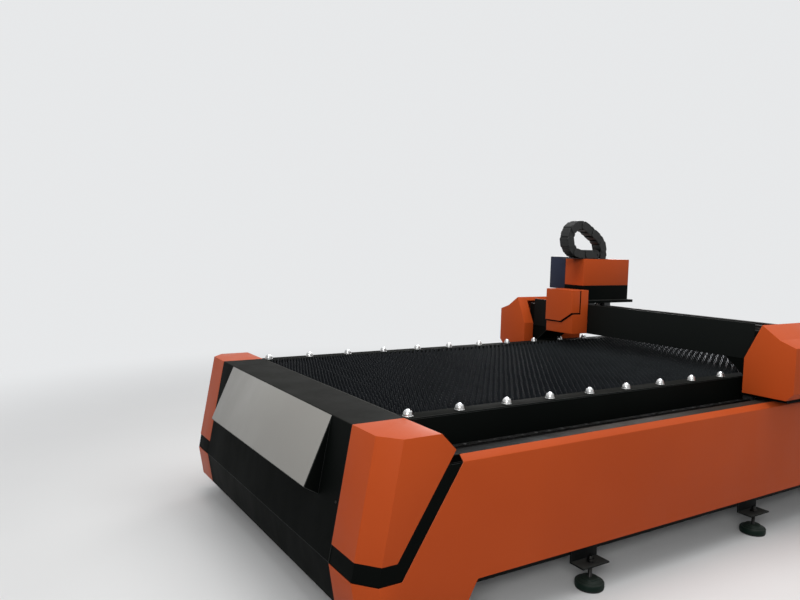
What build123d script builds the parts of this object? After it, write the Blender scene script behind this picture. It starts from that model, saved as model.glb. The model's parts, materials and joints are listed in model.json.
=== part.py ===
from build123d import *
import os
from math import atan2, cos, hypot, pi, radians, sin, tan

# Flatbed laser cutting machine. Millimetres. X is the width, Y the length with the front end at -Y, and Z is
# up from the floor. The origin is on the floor, in the middle of the machine's length and width.

os.makedirs("parts", exist_ok=True)

# Clearances
touch_gap = 0.3
slide_gap = 4.0
overcut = 1.0

# Sheet metal and the outer envelope of the bed
sheet = 3.0
deck_top = 840.0
end_y = 2121.0
end_slope = 0.1729
crease_z = 302.0
kick_slope = 0.18
kick_bottom = 130.0
corner_run_x = 85.0
corner_run_y = 70.0
skirt_stand_off = 50.0
hood_lap = 20.0
envelope_margin = 200.0

# Corner covers and the gap between them and the skirts
cover_top_length = 240.0
bevel_run = 70.0
bevel_drop = 70.0
cover_bottom_z = 372.0
gap_slope = 0.637
gap_width = 61.0
liner_lap = 34.0
liner_side_lap = 40.0
liner_top_drop = 4.0
liner_bottom_drop = 60.0
skirt_fold_drop = 124.0
skirt_flange_rise = 24.0
skirt_flange_run = 27.0
skirt_bottom_z = 226.0
skirt_leg_tip_z = 296.0
skirt_leg_length = 386.0
skirt_leg_rise_run = 54.0

# Front panel, a wedge that stands proud of the sloping end plate
panel_margin = 175.0
panel_nose_reach = 125.0
panel_nose_z = 552.0
panel_foot_z = 512.0

# Table and slats
table_side_outer = 820.0
table_length = 3100.0
wall_thickness = 6.0
table_side_wall = 4.0
table_side_height = 284.0
strip_width = 80.0
strip_thickness = 6.0
slat_count = 32
slat_thickness = 4.0
slat_end_gap = 8.0
slat_rise = 10.0
slat_depth = 88.0
tooth_count = 18
tooth_depth = 26.0
ledge_width = 36.0
ledge_thickness = 4.0
centre_rail_width = 60.0

# Ball transfers along both sides of the table
ball_count = 12
first_ball_margin = 30.0
last_ball_margin = 122.0
ball_flange_r = 24.0
ball_flange_height = 4.0
ball_cup_r = 19.0
ball_cup_height = 14.0
ball_shoulder_r = 12.0
ball_shoulder_height = 26.0
ball_crown_r = 4.0
ball_height = 31.0
ball_sides = 10

# Base frame
side_beam_gap = 30.0
side_beam_width = 170.0
side_beam_height = 250.0
side_beam_drop = 140.0
side_beam_margin = 81.0
tube_wall = 8.0
cross_tube_size = 80.0
cross_tube_count = 6
post_width_x = 100.0
post_width_y = 80.0
post_wall = 6.0
lower_beam_width = 80.0
lower_beam_top = 230.0
lower_beam_height = 80.0
lower_beam_margin = 41.0
foot_places = (-1951.0, -985.0, 309.0, 1649.0)
foot_bracket_reach = 85.0
foot_bracket_width = 170.0
foot_bracket_wall = 8.0
foot_bracket_drop = 118.0
foot_pad_r = 67.0
foot_pad_height = 50.0
foot_pad_rim = 32.0
foot_pad_neck_r = 40.0
foot_stud_r = 10.0
foot_stud_rise = 40.0
foot_nut_r = 18.0
foot_nut_height = 16.0
foot_nut_sides = 6
foot_sides = 10
end_bar_rise = 34.0
end_bar_depth = 40.0

# Scrap trays
tray_count = 3
tray_height = 90.0
tray_side_gap = 20.0
tray_end_gap = 4.0

# Rails, racks and the ledge strips beside them
rail_width = 30.0
rail_height = 26.0
rail_inset = 50.0
rail_margin = 20.0
rail_groove = 5.0
rail_foot_height = 9.0
rail_waist_low = 13.0
rail_waist_high = 16.0
rail_head_height = 20.5
rack_size = 25.0
rack_inset = 135.0
rack_margin = 30.0
rack_lap = 2.0
ledge_strip_lap = 5.0
ledge_strip_leg_gap = 2.0
ledge_strip_overhang = 20.0
ledge_strip_rise = 40.0

# Bearing blocks and pinions
block_width = 60.0
block_height = 45.0
block_lift = 6.0
block_length = 110.0
block_end_margin = 12.0
pinion_teeth = 16
pinion_module = 2.5
pinion_face = 22.0
pinion_tooth_depth = 3.5
pinion_root_share = 0.64
pinion_tip_share = 0.28
pinion_shaft_r = 9.0
shaft_hole_r = 14.0
shaft_sides = 16

# Gantry, at its parked place near the rear
gantry_front = 307.0
end_cover_length = 614.0
end_cover_inset = 57.0
end_cover_overhang = 124.0
end_cover_ridge_run = 93.0
end_cover_shoulder_run = 91.0
end_cover_knee_rise = 12.0
end_cover_ridge_rise = 43.0
end_cover_shoulder_drop = 72.0
end_cover_eave_drop = 105.0
end_cover_corner_cut = 40.0
end_cover_notch_margin = 12.0
end_cover_notch_gap = 6.0
foot_plate_margin = 4.0
foot_plate_thickness = 25.0
foot_plate_setback = 60.0
riser_gusset_run = 136.0
riser_throat_rise = 68.0
riser_lip = 7.0
servo_rear_margin = 186.0

# Beam
beam_setback = 95.0
beam_depth = 245.0
beam_height = 165.0
beam_clearance = 115.0
beam_lap = 105.0
beam_cover_gap = 3.0
beam_cover_drop = 7.0
beam_cover_rise = 36.0
beam_cover_flange = 13.0
beam_rail_inset = 45.0
beam_rail_rear_inset = 40.0
beam_rail_margin = 25.0
beam_rack_drop = 35.0
beam_rack_margin = 15.0

# Carriage, at its parked place on the beam
carriage_x = -475.0
carriage_block_spread = 75.0
carriage_block_length = 88.0
saddle_half_width = 120.0
saddle_thickness = 20.0
saddle_length = 485.0
front_plate_thickness = 12.0
front_plate_rise = 10.0
front_plate_top_gap = 4.0
housing_shift = -18.5
housing_half_width = 91.5
housing_length = 478.0
housing_height = 105.0
top_box_height = 193.0
junction_width = 158.0
junction_depth = 110.0
junction_lap = 35.0
junction_rise = 9.0
cover_sheet = 2.5
carriage_cover_half = 128.0
carriage_cover_front = 155.0
carriage_cover_drop = 5.0
carriage_cover_rise = 75.0
hood_stand_off = 12.0
hood_return = 68.0
hood_low_rise = 84.0
hood_high_rise = 150.0
hood_cut_x = 22.0
hood_gap = 12.0
liner_rise = 4.0

# Vertical axis and cutting head
z_rail_spread = 62.0
z_rail_width = 15.0
z_rail_depth = 12.5
z_rail_rise = 15.0
z_rail_length = 200.0
z_block_width = 34.0
z_block_height = 31.0
z_block_length = 40.0
z_block_gap = 4.0
slide_plate_half_width = 82.0
slide_plate_thickness = 12.0
slide_plate_height = 90.0
slide_plate_top_gap = 5.0
screw_r = 6.0
screw_clearance = 0.1
nut_half_width = 16.0
nut_height = 34.0
nut_gap = 5.0
z_motor_size = 38.0
z_motor_height = 70.0
z_motor_corner = 4.0
screw_bearing_height = 14.0
screw_bearing_gap = 1.0
head_half_width = 32.0
head_depth = 64.0
head_edge_cut = 10.0
head_rise = 15.0
collimator_r = 18.0
collimator_height = 62.0
head_tube_r = 26.0
head_tube_length = 55.0
head_nose_r = 11.0
head_nose_length = 45.0
nozzle_r = 9.0
nozzle_tip_r = 3.0
nozzle_length = 20.0
head_sides = 20

# Servo motors and gearboxes
gearbox_size = 80.0
gearbox_height = 72.0
gearbox_flange = 14.0
gearbox_step = 8.0
servo_size = 70.0
servo_height = 110.0
servo_cap_height = 34.0
servo_cap_step = 10.0
servo_corner = 8.0

# Drag chain loop on the top box
chain_shift = 12.5
chain_width = 85.0
chain_height = 62.0
chain_wall_side = 12.0
chain_wall_bar = 10.0
chain_bend_r = 106.0
chain_front_overhang = 156.0
chain_rear_run = 251.0
chain_tail_run = 165.0
chain_dive_deg = 30.3
chain_links = 15
link_shoulder = 0.68
chain_bracket_sheet = 3.0
chain_bracket_side_margin = 8.0
chain_bracket_front_margin = 12.0
chain_bracket_rear_margin = 6.0


def box(x0, x1, y0, y1, z0, z1):
    """A block between two corners."""
    return Pos((x0 + x1) / 2, (y0 + y1) / 2, (z0 + z1) / 2) * Box(x1 - x0, y1 - y0, z1 - z0)


def upright(x, y, width, length, z0, z1):
    """A block about a middle point, between two heights."""
    return box(x - width / 2, x + width / 2, y - length / 2, y + length / 2, z0, z1)


def prism_x(points, x0, x1):
    """A profile of (y, z) points, pulled along X."""
    wire = Wire.make_polygon([Vector(x0, y, z) for y, z in points], close=True)
    return Solid.extrude(Face(wire), Vector(x1 - x0, 0, 0))


def prism_y(points, y0, y1):
    """A profile of (x, z) points, pulled along Y."""
    wire = Wire.make_polygon([Vector(x, y0, z) for x, z in points], close=True)
    return Solid.extrude(Face(wire), Vector(0, y1 - y0, 0))


def prism_z(points, z0, z1):
    """A profile of (x, y) points, pulled along Z."""
    wire = Wire.make_polygon([Vector(x, y, z0) for x, y in points], close=True)
    return Solid.extrude(Face(wire), Vector(0, 0, z1 - z0))


def faceted(profile, x, y, sides):
    """A small turned form with flat sides. The profile of (radius, z) points goes up from its foot."""
    turns = [2 * pi * (index + 0.5) / sides for index in range(sides)]
    rings = [[Vector(x + r * cos(turn), y + r * sin(turn), z) for turn in turns] for r, z in profile]
    outlines = [rings[0], rings[-1]]
    for low, high in zip(rings, rings[1:]):
        outlines += [(low[index - 1], low[index], high[index], high[index - 1]) for index in range(sides)]
    return Solid(Shell([Face(Wire.make_polygon(points, close=True)) for points in outlines]))


def rod(x, y, r, z0, z1):
    """A round bar along Z."""
    return Pos(x, y, (z0 + z1) / 2) * Cylinder(r, z1 - z0)


def other_side(shape):
    return shape.mirror(Plane.YZ)


def other_end(shape):
    return shape.mirror(Plane.XZ)


def write(name, *shapes):
    solids = [solid for shape in shapes for solid in shape.solids()]
    export_step(solids[0] if len(solids) == 1 else Compound(solids), f"parts/{name}.step")


def both(*shapes):
    """Pieces of the right-hand side and their mirror images on the left."""
    return list(shapes) + [other_side(shape) for shape in shapes]


# Table and base frame, from the sizes above
slat_tip = deck_top + slat_rise
table_front = cover_top_length - end_y
table_rear = table_front + table_length
table_side_inner = table_side_outer - strip_width
table_side_bottom = deck_top - strip_thickness - table_side_height
slat_half_length = table_side_inner - slat_end_gap
tray_half_width = table_side_inner - tray_side_gap
centre_half = table_side_outer - hood_lap
panel_half_width = centre_half - panel_margin
side_beam_inner = table_side_outer + side_beam_gap
side_beam_outer = side_beam_inner + side_beam_width
side_beam_top = deck_top - side_beam_drop
side_beam_bottom = side_beam_top - side_beam_height
side_beam_half_length = end_y - side_beam_margin
side_x = side_beam_outer + skirt_stand_off
skirt_fold_z = deck_top - skirt_fold_drop
cross_tube_top = table_side_bottom
lower_beam_bottom = lower_beam_top - lower_beam_height
lower_beam_inner = side_beam_inner + (side_beam_width - lower_beam_width) / 2
lower_beam_outer = lower_beam_inner + lower_beam_width
lower_beam_half_length = end_y - lower_beam_margin
foot_x = lower_beam_outer + foot_bracket_reach / 2 + foot_bracket_wall / 2
foot_bracket_bottom = lower_beam_top - foot_bracket_drop
foot_stud_top = foot_bracket_bottom + foot_stud_rise
rear_hood_edge = end_y - cover_top_length

# Rails and racks
rail_x = side_beam_inner + rail_inset
rail_half_length = side_beam_half_length - rail_margin
rack_inner_x = side_beam_inner + rack_inset
rack_half_length = side_beam_half_length - rack_margin
ledge_strip_inner = rack_inner_x - ledge_strip_lap
ledge_strip_leg_x = rack_inner_x + rack_size + ledge_strip_leg_gap
ledge_strip_outer = side_beam_outer + ledge_strip_overhang
ledge_strip_top = side_beam_top + ledge_strip_rise
pinion_r = pinion_teeth * pinion_module / 2

# Gantry
gantry_rear = gantry_front + end_cover_length
foot_plate_bottom = side_beam_top + block_height
foot_plate_top = foot_plate_bottom + foot_plate_thickness
foot_plate_inner = rail_x - block_width / 2 - foot_plate_margin
beam_half_length = side_beam_inner + beam_lap
beam_front = gantry_front + beam_setback
beam_rear = beam_front + beam_depth
beam_bottom = deck_top + beam_clearance
beam_top = beam_bottom + beam_height
beam_rail_half_length = beam_half_length - beam_rail_margin
beam_rack_half_length = beam_half_length - beam_rack_margin
beam_rack_bottom = beam_top - beam_rack_drop
beam_rack_rear = beam_rear + rack_size
beam_cover_front = beam_front - sheet
beam_cover_bottom = beam_bottom - beam_cover_drop
beam_cover_top = beam_top + beam_cover_rise
end_cover_inner = side_beam_inner + end_cover_inset
end_cover_outer = side_x + end_cover_overhang
end_cover_ridge_x = end_cover_inner + end_cover_ridge_run
end_cover_shoulder_x = end_cover_outer - end_cover_shoulder_run
end_cover_knee_z = beam_bottom + end_cover_knee_rise
end_cover_ridge_z = beam_top + end_cover_ridge_rise
end_cover_shoulder_z = end_cover_ridge_z - end_cover_shoulder_drop
end_cover_eave_z = end_cover_ridge_z - end_cover_eave_drop
beam_cover_half_length = end_cover_inner - beam_cover_gap
riser_reach = foot_plate_inner - riser_gusset_run
riser_throat_z = foot_plate_top + riser_throat_rise
servo_x = rack_inner_x - pinion_r
servo_y = gantry_rear - servo_rear_margin

# Carriage
saddle_bottom = beam_top + block_height
saddle_top = saddle_bottom + saddle_thickness
housing_x = carriage_x + housing_shift
housing_top = saddle_top + housing_height
top_box_top = housing_top + top_box_height
junction_bottom = housing_top - junction_lap
junction_top = top_box_top + junction_rise
carriage_servo_y = beam_rack_rear + pinion_r
plate_rear = beam_cover_front - slide_gap
plate_front = plate_rear - front_plate_thickness
carriage_cover_bottom = beam_bottom - carriage_cover_drop
carriage_cover_top = saddle_top + carriage_cover_rise
hood_low_z = carriage_cover_bottom + hood_low_rise
hood_high_z = carriage_cover_bottom + hood_high_rise
front_plate_bottom = beam_bottom + front_plate_rise
front_plate_top = carriage_cover_top - front_plate_top_gap

# Vertical axis and cutting head
z_rail_bottom = beam_bottom + z_rail_rise
z_rail_top = z_rail_bottom + z_rail_length
slide_plate_top = z_rail_top - slide_plate_top_gap
slide_plate_bottom = slide_plate_top - slide_plate_height
slide_rear = plate_front - z_block_height
slide_front = slide_rear - slide_plate_thickness
screw_y = plate_front - z_motor_size / 2
head_y = slide_front - head_depth / 2
head_top = slide_plate_top + head_rise
head_tube_bottom = slide_plate_bottom - head_tube_length
head_nose_bottom = head_tube_bottom - head_nose_length

# Drag chain
chain_x = carriage_x + chain_shift
chain_front_reach = plate_rear - chain_front_overhang
chain_rear_y = plate_rear + chain_rear_run
chain_tail_y = plate_rear + chain_tail_run


# Outer envelope of the bed: one closed form, from which the hood, covers and skirts are cut as thin shells

def end_reach(z):
    """How far the bed reaches along Y at a height: it leans out down to the crease, then back in."""
    if z >= crease_z:
        return end_y + (deck_top - z) * end_slope
    return end_y + (deck_top - crease_z) * end_slope - (crease_z - z) * kick_slope


def plan_wire(z, inset):
    """The eight-sided plan outline at a height, set in by a wall."""
    corner_turn = atan2(corner_run_y, corner_run_x)
    end_corner_x = side_x - corner_run_x - inset * tan(corner_turn / 2)
    side_corner_y = end_reach(z) - corner_run_y - inset * tan(pi / 4 - corner_turn / 2)
    reach, side = end_reach(z) - inset, side_x - inset
    quarter = [(end_corner_x, reach), (side, side_corner_y)]
    points = quarter + [(x, -y) for x, y in reversed(quarter)]
    points += [(-x, -y) for x, y in quarter] + [(-x, y) for x, y in reversed(quarter)]
    return Wire.make_polygon([Vector(x, y, z) for x, y in points], close=True)


def envelope(inset, below=0.0):
    """The closed form, set in by a wall on its sides, ends and top."""
    heights = (kick_bottom - below, crease_z, deck_top - inset)
    return Solid.make_loft([plan_wire(z, inset) for z in heights], ruled=True)


def envelope_shell(inset, wall):
    return envelope(inset) - envelope(inset + wall, below=overcut)


def gap_line(z, offset):
    """Y of the slanting edge beside a front corner, at a height. offset is measured square to the edge."""
    bevel_foot_y = -end_y + cover_top_length + bevel_run
    bevel_foot_z = deck_top - bevel_drop
    return bevel_foot_y + offset * hypot(1, gap_slope) - (bevel_foot_z - z) * gap_slope


def corner_cover():
    """Folded cover over the front right corner, open below, behind and towards the middle."""
    bevel_top = (-end_y + cover_top_length, deck_top)
    bevel_foot = (bevel_top[0] + bevel_run, deck_top - bevel_drop)
    outer_y = -end_y - envelope_margin
    outline = [(outer_y, deck_top), bevel_top, bevel_foot]
    outline += [(gap_line(cover_bottom_z, 0), cover_bottom_z), (outer_y, cover_bottom_z)]
    walls = envelope_shell(0, sheet) & prism_x(outline, centre_half, side_x)
    length = hypot(bevel_run, bevel_drop)
    in_y, in_z = -bevel_drop / length * sheet, -bevel_run / length * sheet
    strip = [bevel_top, bevel_foot, (bevel_foot[0] + in_y, bevel_foot[1] + in_z)]
    strip += [(bevel_top[0] + in_y, bevel_top[1] + in_z)]
    inner_x = table_side_outer + touch_gap
    walls -= box(centre_half, inner_x, bevel_top[0], bevel_foot[0], 0, deck_top)
    return walls + prism_x(strip, inner_x, side_x - sheet)


def corner_liner():
    """Dark backing strip seen through the gap between a corner cover and the skirt."""
    low_z, high_z, lap = skirt_leg_tip_z - liner_bottom_drop, skirt_fold_z - liner_top_drop, liner_lap
    outer_y = -end_y - envelope_margin
    band = [(gap_line(high_z, -lap), high_z), (gap_line(high_z, gap_width + lap), high_z)]
    band += [(gap_line(skirt_leg_tip_z, gap_width + lap), skirt_leg_tip_z)]
    band += [(gap_line(skirt_leg_tip_z, gap_width + lap), low_z), (outer_y, low_z)]
    band += [(outer_y, cover_bottom_z + lap), (gap_line(cover_bottom_z, -lap), cover_bottom_z + lap)]
    shell = envelope_shell(sheet + touch_gap, sheet)
    return shell & prism_x(band, centre_half - liner_side_lap, side_x)


def skirt():
    """Folded side skirt of the right side. It runs round both corners and has a sloping top flange."""
    top_y, tip_y = gap_line(skirt_fold_z, gap_width), gap_line(skirt_leg_tip_z, gap_width)
    leg_y = -end_y + skirt_leg_length
    outer_y = -end_y - envelope_margin
    front = [(leg_y + skirt_leg_rise_run, skirt_bottom_z), (leg_y, kick_bottom), (outer_y, kick_bottom)]
    front += [(outer_y, skirt_leg_tip_z), (tip_y, skirt_leg_tip_z), (top_y, skirt_fold_z)]
    outline = front + [(-y, z) for y, z in reversed(front)]
    walls = envelope_shell(0, sheet) & prism_x(outline, centre_half, side_x)
    flange = [(side_x, skirt_fold_z), (side_x - skirt_flange_run, skirt_fold_z + skirt_flange_rise)]
    flange += [(side_x - skirt_flange_run - sheet, skirt_fold_z + skirt_flange_rise - sheet / 2)]
    flange += [(side_x - sheet, skirt_fold_z - sheet)]
    return walls + prism_y(flange, top_y, -top_y)


def hood(inner_y):
    """Sloping end plate and deck of the front end, folded from one sheet."""
    half = centre_half - touch_gap
    region = box(-half, half, -end_y - envelope_margin, inner_y, crease_z, deck_top)
    return envelope_shell(0, sheet) & region


def kick_panel():
    """Lower end plate of the front end, which slopes back under the crease."""
    half = centre_half - touch_gap
    region = box(-half, half, -end_y - envelope_margin, -end_y, kick_bottom, crease_z - touch_gap)
    return envelope_shell(0, sheet) & region


def end_bar():
    """Bar across the front end, from the posts to the crease. The hood and the kick panel are fixed to it."""
    inset = sheet + touch_gap
    low, high = crease_z - end_bar_rise, crease_z + end_bar_rise
    back = -lower_beam_half_length
    shoulder = back - end_bar_depth
    nose = [(-end_reach(z) + inset, z) for z in (high, crease_z, low)]
    bar = prism_x(nose + [(shoulder, low), (shoulder, high)], -table_side_inner, table_side_inner)
    return bar + box(-lower_beam_outer, lower_beam_outer, shoulder, back, low, high)


def front_panel():
    """Console panel across the hood. It starts flush at the top edge and leans out towards its lower edge."""
    top_z = deck_top - touch_gap
    points = [(-end_reach(top_z) - touch_gap, top_z), (-end_y - panel_nose_reach, panel_nose_z)]
    points += [(-end_reach(panel_foot_z) - touch_gap, panel_foot_z)]
    return prism_x(points, -panel_half_width, panel_half_width)


# Base frame

def tube_y(x0, x1, y0, y1, z0, z1, wall):
    """A rectangular tube along Y, open at both ends."""
    return box(x0, x1, y0, y1, z0, z1) - box(x0 + wall, x1 - wall, y0 - overcut, y1 + overcut,
                                         z0 + wall, z1 - wall)


def side_beam():
    """Main beam of the right side, a rectangular tube that carries the rail and the rack."""
    half = side_beam_half_length
    return tube_y(side_beam_inner, side_beam_outer, -half, half, side_beam_bottom, side_beam_top, tube_wall)


def lower_beam():
    """Tube of the right side near the floor. The foot brackets are welded to it."""
    half = lower_beam_half_length
    return tube_y(lower_beam_inner, lower_beam_outer, -half, half, lower_beam_bottom, lower_beam_top,
                  post_wall)


def posts():
    """Upright tubes between the lower beam and the side beam of the right side."""
    middle = (lower_beam_inner + lower_beam_outer) / 2
    end_place = lower_beam_half_length - post_width_y / 2
    tubes = []
    for y in (-end_place,) + foot_places[1:] + (end_place,):
        outer = upright(middle, y, post_width_x, post_width_y, lower_beam_top, side_beam_bottom)
        bore = 2 * post_wall
        tubes.append(outer - upright(middle, y, post_width_x - bore, post_width_y - bore,
                                     lower_beam_top - overcut, side_beam_bottom + overcut))
    return tubes


def cross_tubes():
    """Tubes across the bed between the two side beams, under the table."""
    step = table_length / cross_tube_count
    tubes = []
    for index in range(cross_tube_count):
        y = table_front + step * (index + 0.5)
        outer = box(-side_beam_inner, side_beam_inner, y - cross_tube_size / 2, y + cross_tube_size / 2,
                    cross_tube_top - cross_tube_size, cross_tube_top)
        inner = box(-side_beam_inner, side_beam_inner, y - cross_tube_size / 2 + tube_wall,
                    y + cross_tube_size / 2 - tube_wall, cross_tube_top - cross_tube_size + tube_wall,
                    cross_tube_top - tube_wall)
        tubes.append(outer - inner)
    return tubes


def foot_bracket(y):
    """C-shaped bracket on the outside of the lower beam, with a hole for the foot's stud."""
    x0, x1 = lower_beam_outer, lower_beam_outer + foot_bracket_reach
    half, wall = foot_bracket_width / 2, foot_bracket_wall
    profile = [(x0, lower_beam_top), (x1, lower_beam_top), (x1, lower_beam_top - wall)]
    profile += [(x0 + wall, lower_beam_top - wall), (x0 + wall, foot_bracket_bottom + wall)]
    profile += [(x1, foot_bracket_bottom + wall), (x1, foot_bracket_bottom), (x0, foot_bracket_bottom)]
    bore = foot_stud_r + touch_gap
    depth = [(bore, foot_bracket_bottom - overcut), (bore, foot_bracket_bottom + wall + overcut)]
    hole = faceted(depth, foot_x, y, foot_sides)
    return prism_y(profile, y - half, y + half) - hole


def levelling_foot(y):
    """Round pad with its threaded stud and the nut that carries the bracket, as one piece."""
    pad_profile = [(foot_pad_r, 0), (foot_pad_r, foot_pad_rim), (foot_pad_neck_r, foot_pad_height)]
    pad = faceted(pad_profile, foot_x, y, foot_sides)
    stud_profile = [(foot_stud_r, foot_pad_height - overcut), (foot_stud_r, foot_stud_top)]
    stud = faceted(stud_profile, foot_x, y, foot_sides)
    nut_top = foot_bracket_bottom - touch_gap
    nut_profile = [(foot_nut_r, nut_top - foot_nut_height), (foot_nut_r, nut_top)]
    nut = faceted(nut_profile, foot_x, y, foot_nut_sides)
    return pad + stud + nut


# Table

def table_side():
    """Channel along the right side of the table. It is open towards the slats."""
    top, wall = deck_top - strip_thickness, table_side_wall
    x0, x1 = table_side_inner, table_side_outer
    profile = [(x0, top), (x1, top), (x1, table_side_bottom), (x0, table_side_bottom)]
    profile += [(x0, table_side_bottom + wall), (x1 - wall, table_side_bottom + wall)]
    profile += [(x1 - wall, top - wall), (x0, top - wall)]
    return prism_y(profile, table_front, -table_front)


def ball_strip():
    """Flat strip along the table's edge, which carries the ball transfers."""
    x0 = table_side_outer - strip_width
    return box(x0, table_side_outer, table_front, table_rear, deck_top - strip_thickness, deck_top)


def ball_places():
    pitch = (table_length - first_ball_margin - last_ball_margin) / (ball_count - 1)
    return [table_front + first_ball_margin + index * pitch for index in range(ball_count)]


def ball_transfer(y):
    """Ball transfer with its flange, its cup and the ball in it, as one closed unit."""
    profile = [(ball_flange_r, 0), (ball_flange_r, ball_flange_height), (ball_cup_r, ball_cup_height)]
    profile += [(ball_shoulder_r, ball_shoulder_height), (ball_crown_r, ball_height)]
    heights = [(r, deck_top + up) for r, up in profile]
    return faceted(heights, table_side_outer - strip_width / 2, y, ball_sides)


def table_end(y):
    """Cross wall that closes one end of the slat field."""
    return box(-table_side_inner, table_side_inner, y, y + wall_thickness, table_side_bottom, deck_top)


def slat_ledge():
    """Angle on the right side of the table. The slats' ends rest on it."""
    top = slat_tip - slat_depth
    x1 = table_side_inner
    x0 = x1 - ledge_width
    profile = [(x0, top), (x1, top), (x1, top - ledge_width), (x1 - ledge_thickness, top - ledge_width)]
    profile += [(x1 - ledge_thickness, top - ledge_thickness), (x0, top - ledge_thickness)]
    return prism_y(profile, table_front + wall_thickness, table_rear)


def centre_rail():
    """Tube under the middle of the slats."""
    half, top = centre_rail_width / 2, slat_tip - slat_depth
    return box(-half, half, table_front + wall_thickness, table_rear, top - centre_rail_width, top)


def slat(y):
    """Saw-tooth slat: an upright plate across the table with pointed teeth along its top."""
    pitch = 2 * slat_half_length / tooth_count
    points = [(-slat_half_length, slat_tip - slat_depth), (slat_half_length, slat_tip - slat_depth)]
    points += [(slat_half_length, slat_tip - tooth_depth)]
    for index in range(tooth_count):
        x = slat_half_length - index * pitch
        points += [(x - pitch / 2, slat_tip), (x - pitch, slat_tip - tooth_depth)]
    return prism_y(points, y - slat_thickness / 2, y + slat_thickness / 2)


def slats():
    room = table_length - wall_thickness
    step = room / slat_count
    return [slat(table_front + wall_thickness + step * (index + 0.5)) for index in range(slat_count)]


def rear_deck():
    """Plate behind the table, between the two sides."""
    return box(-table_side_outer, table_side_outer, table_rear + wall_thickness, rear_hood_edge - touch_gap,
               deck_top - strip_thickness, deck_top)


def scrap_trays():
    """Open sheet trays on the cross tubes, under the slats."""
    room = table_length - wall_thickness
    step = room / tray_count
    trays = []
    for index in range(tray_count):
        y0 = table_front + wall_thickness + step * index + tray_end_gap
        y1 = y0 + step - 2 * tray_end_gap
        outer = box(-tray_half_width, tray_half_width, y0, y1, cross_tube_top, cross_tube_top + tray_height)
        inner = box(-tray_half_width + sheet, tray_half_width - sheet, y0 + sheet, y1 - sheet,
                    cross_tube_top + sheet, cross_tube_top + tray_height + overcut)
        trays.append(outer - inner)
    return trays


# Rails, racks and bearing blocks

def rail_profile(middle, base):
    """Section of a linear rail with a groove along each side."""
    half, waist = rail_width / 2, rail_width / 2 - rail_groove
    side = [(half, 0), (half, rail_foot_height), (waist, rail_waist_low), (waist, rail_waist_high)]
    side += [(half, rail_head_height), (half, rail_height)]
    outline = side + [(-across, up) for across, up in reversed(side)]
    return [(middle + across, base + up) for across, up in outline]


def block_profile(middle, base):
    """Section of a bearing block that straddles a rail."""
    half, slot = block_width / 2, rail_width / 2 + touch_gap
    low, roof, top = base + block_lift, base + rail_height + touch_gap, base + block_height
    left = [(-half, low), (-slot, low), (-slot, roof)]
    outline = left + [(-across, up) for across, up in reversed(left)] + [(half, top), (-half, top)]
    return [(middle + across, up) for across, up in outline]


def ledge_strip():
    """Folded strip that covers the rack, on the outer edge of the side beam."""
    leg, top = ledge_strip_leg_x, ledge_strip_top
    profile = [(ledge_strip_inner, top), (ledge_strip_outer, top), (ledge_strip_outer, top - sheet)]
    profile += [(leg + sheet, top - sheet), (leg + sheet, side_beam_top), (leg, side_beam_top)]
    profile += [(leg, top - sheet), (ledge_strip_inner, top - sheet)]
    return prism_y(profile, -side_beam_half_length, side_beam_half_length)


def pinion(x, y, z0, shaft_top):
    """Spur pinion on its shaft, with an upright axis."""
    tip, root = pinion_r - touch_gap, pinion_r - touch_gap - pinion_tooth_depth
    half_pitch = pi / pinion_teeth
    side = [(root, pinion_root_share * half_pitch), (tip, pinion_tip_share * half_pitch)]
    tooth = [(radius, -turn) for radius, turn in side] + side[::-1]
    points = []
    for index in range(pinion_teeth):
        middle = 2 * half_pitch * index
        points += [(x + r * cos(middle + turn), y + r * sin(middle + turn)) for r, turn in tooth]
    wheel = prism_z(points, z0, z0 + pinion_face)
    shaft = faceted([(pinion_shaft_r, z0 + pinion_face), (pinion_shaft_r, shaft_top)], x, y, shaft_sides)
    return wheel + shaft


def gantry_pinion():
    return pinion(servo_x, servo_y, side_beam_top + rack_lap, foot_plate_top)


def bed_rack():
    """Rack along the right side beam, as a plain bar."""
    return box(rack_inner_x, rack_inner_x + rack_size, -rack_half_length, rack_half_length, side_beam_top,
               side_beam_top + rack_size)


def shaft_hole(x, y, z0, z1):
    """The hole through a plate that a pinion's shaft passes through."""
    return faceted([(shaft_hole_r, z0 - overcut), (shaft_hole_r, z1 + overcut)], x, y, shaft_sides)


def squared(x, y, size, corner):
    """Plan outline of a square with its corners cut off."""
    half, cut = size / 2, size / 2 - corner
    quarter = [(half, -cut), (half, cut), (cut, half), (-cut, half)]
    outline = quarter + [(-across, -along) for across, along in quarter]
    return [(x + across, y + along) for across, along in outline]


def gearbox(x, y, base):
    """Square planetary gearbox with a flange at its foot."""
    shoulder = base + gearbox_flange
    foot = upright(x, y, gearbox_size, gearbox_size, base, shoulder)
    body = prism_z(squared(x, y, gearbox_size - gearbox_step, servo_corner), shoulder, base + gearbox_height)
    return foot + body


def servo(x, y, base):
    """Servo motor: square body and a smaller end cap."""
    body = prism_z(squared(x, y, servo_size, servo_corner), base, base + servo_height)
    cap = prism_z(squared(x, y, servo_size - servo_cap_step, servo_corner), base + servo_height,
                  base + servo_height + servo_cap_height)
    return body + cap


# Gantry

def end_cover_outline():
    """Front view of the right end cover, clockwise from its inner foot."""
    low, cut = foot_plate_top + touch_gap, end_cover_corner_cut
    outline = [(end_cover_inner, low), (end_cover_inner, end_cover_knee_z)]
    outline += [(end_cover_ridge_x, end_cover_ridge_z), (end_cover_shoulder_x, end_cover_shoulder_z)]
    outline += [(end_cover_outer, end_cover_eave_z), (end_cover_outer, low + cut)]
    return outline + [(end_cover_outer - cut, low)]


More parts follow.
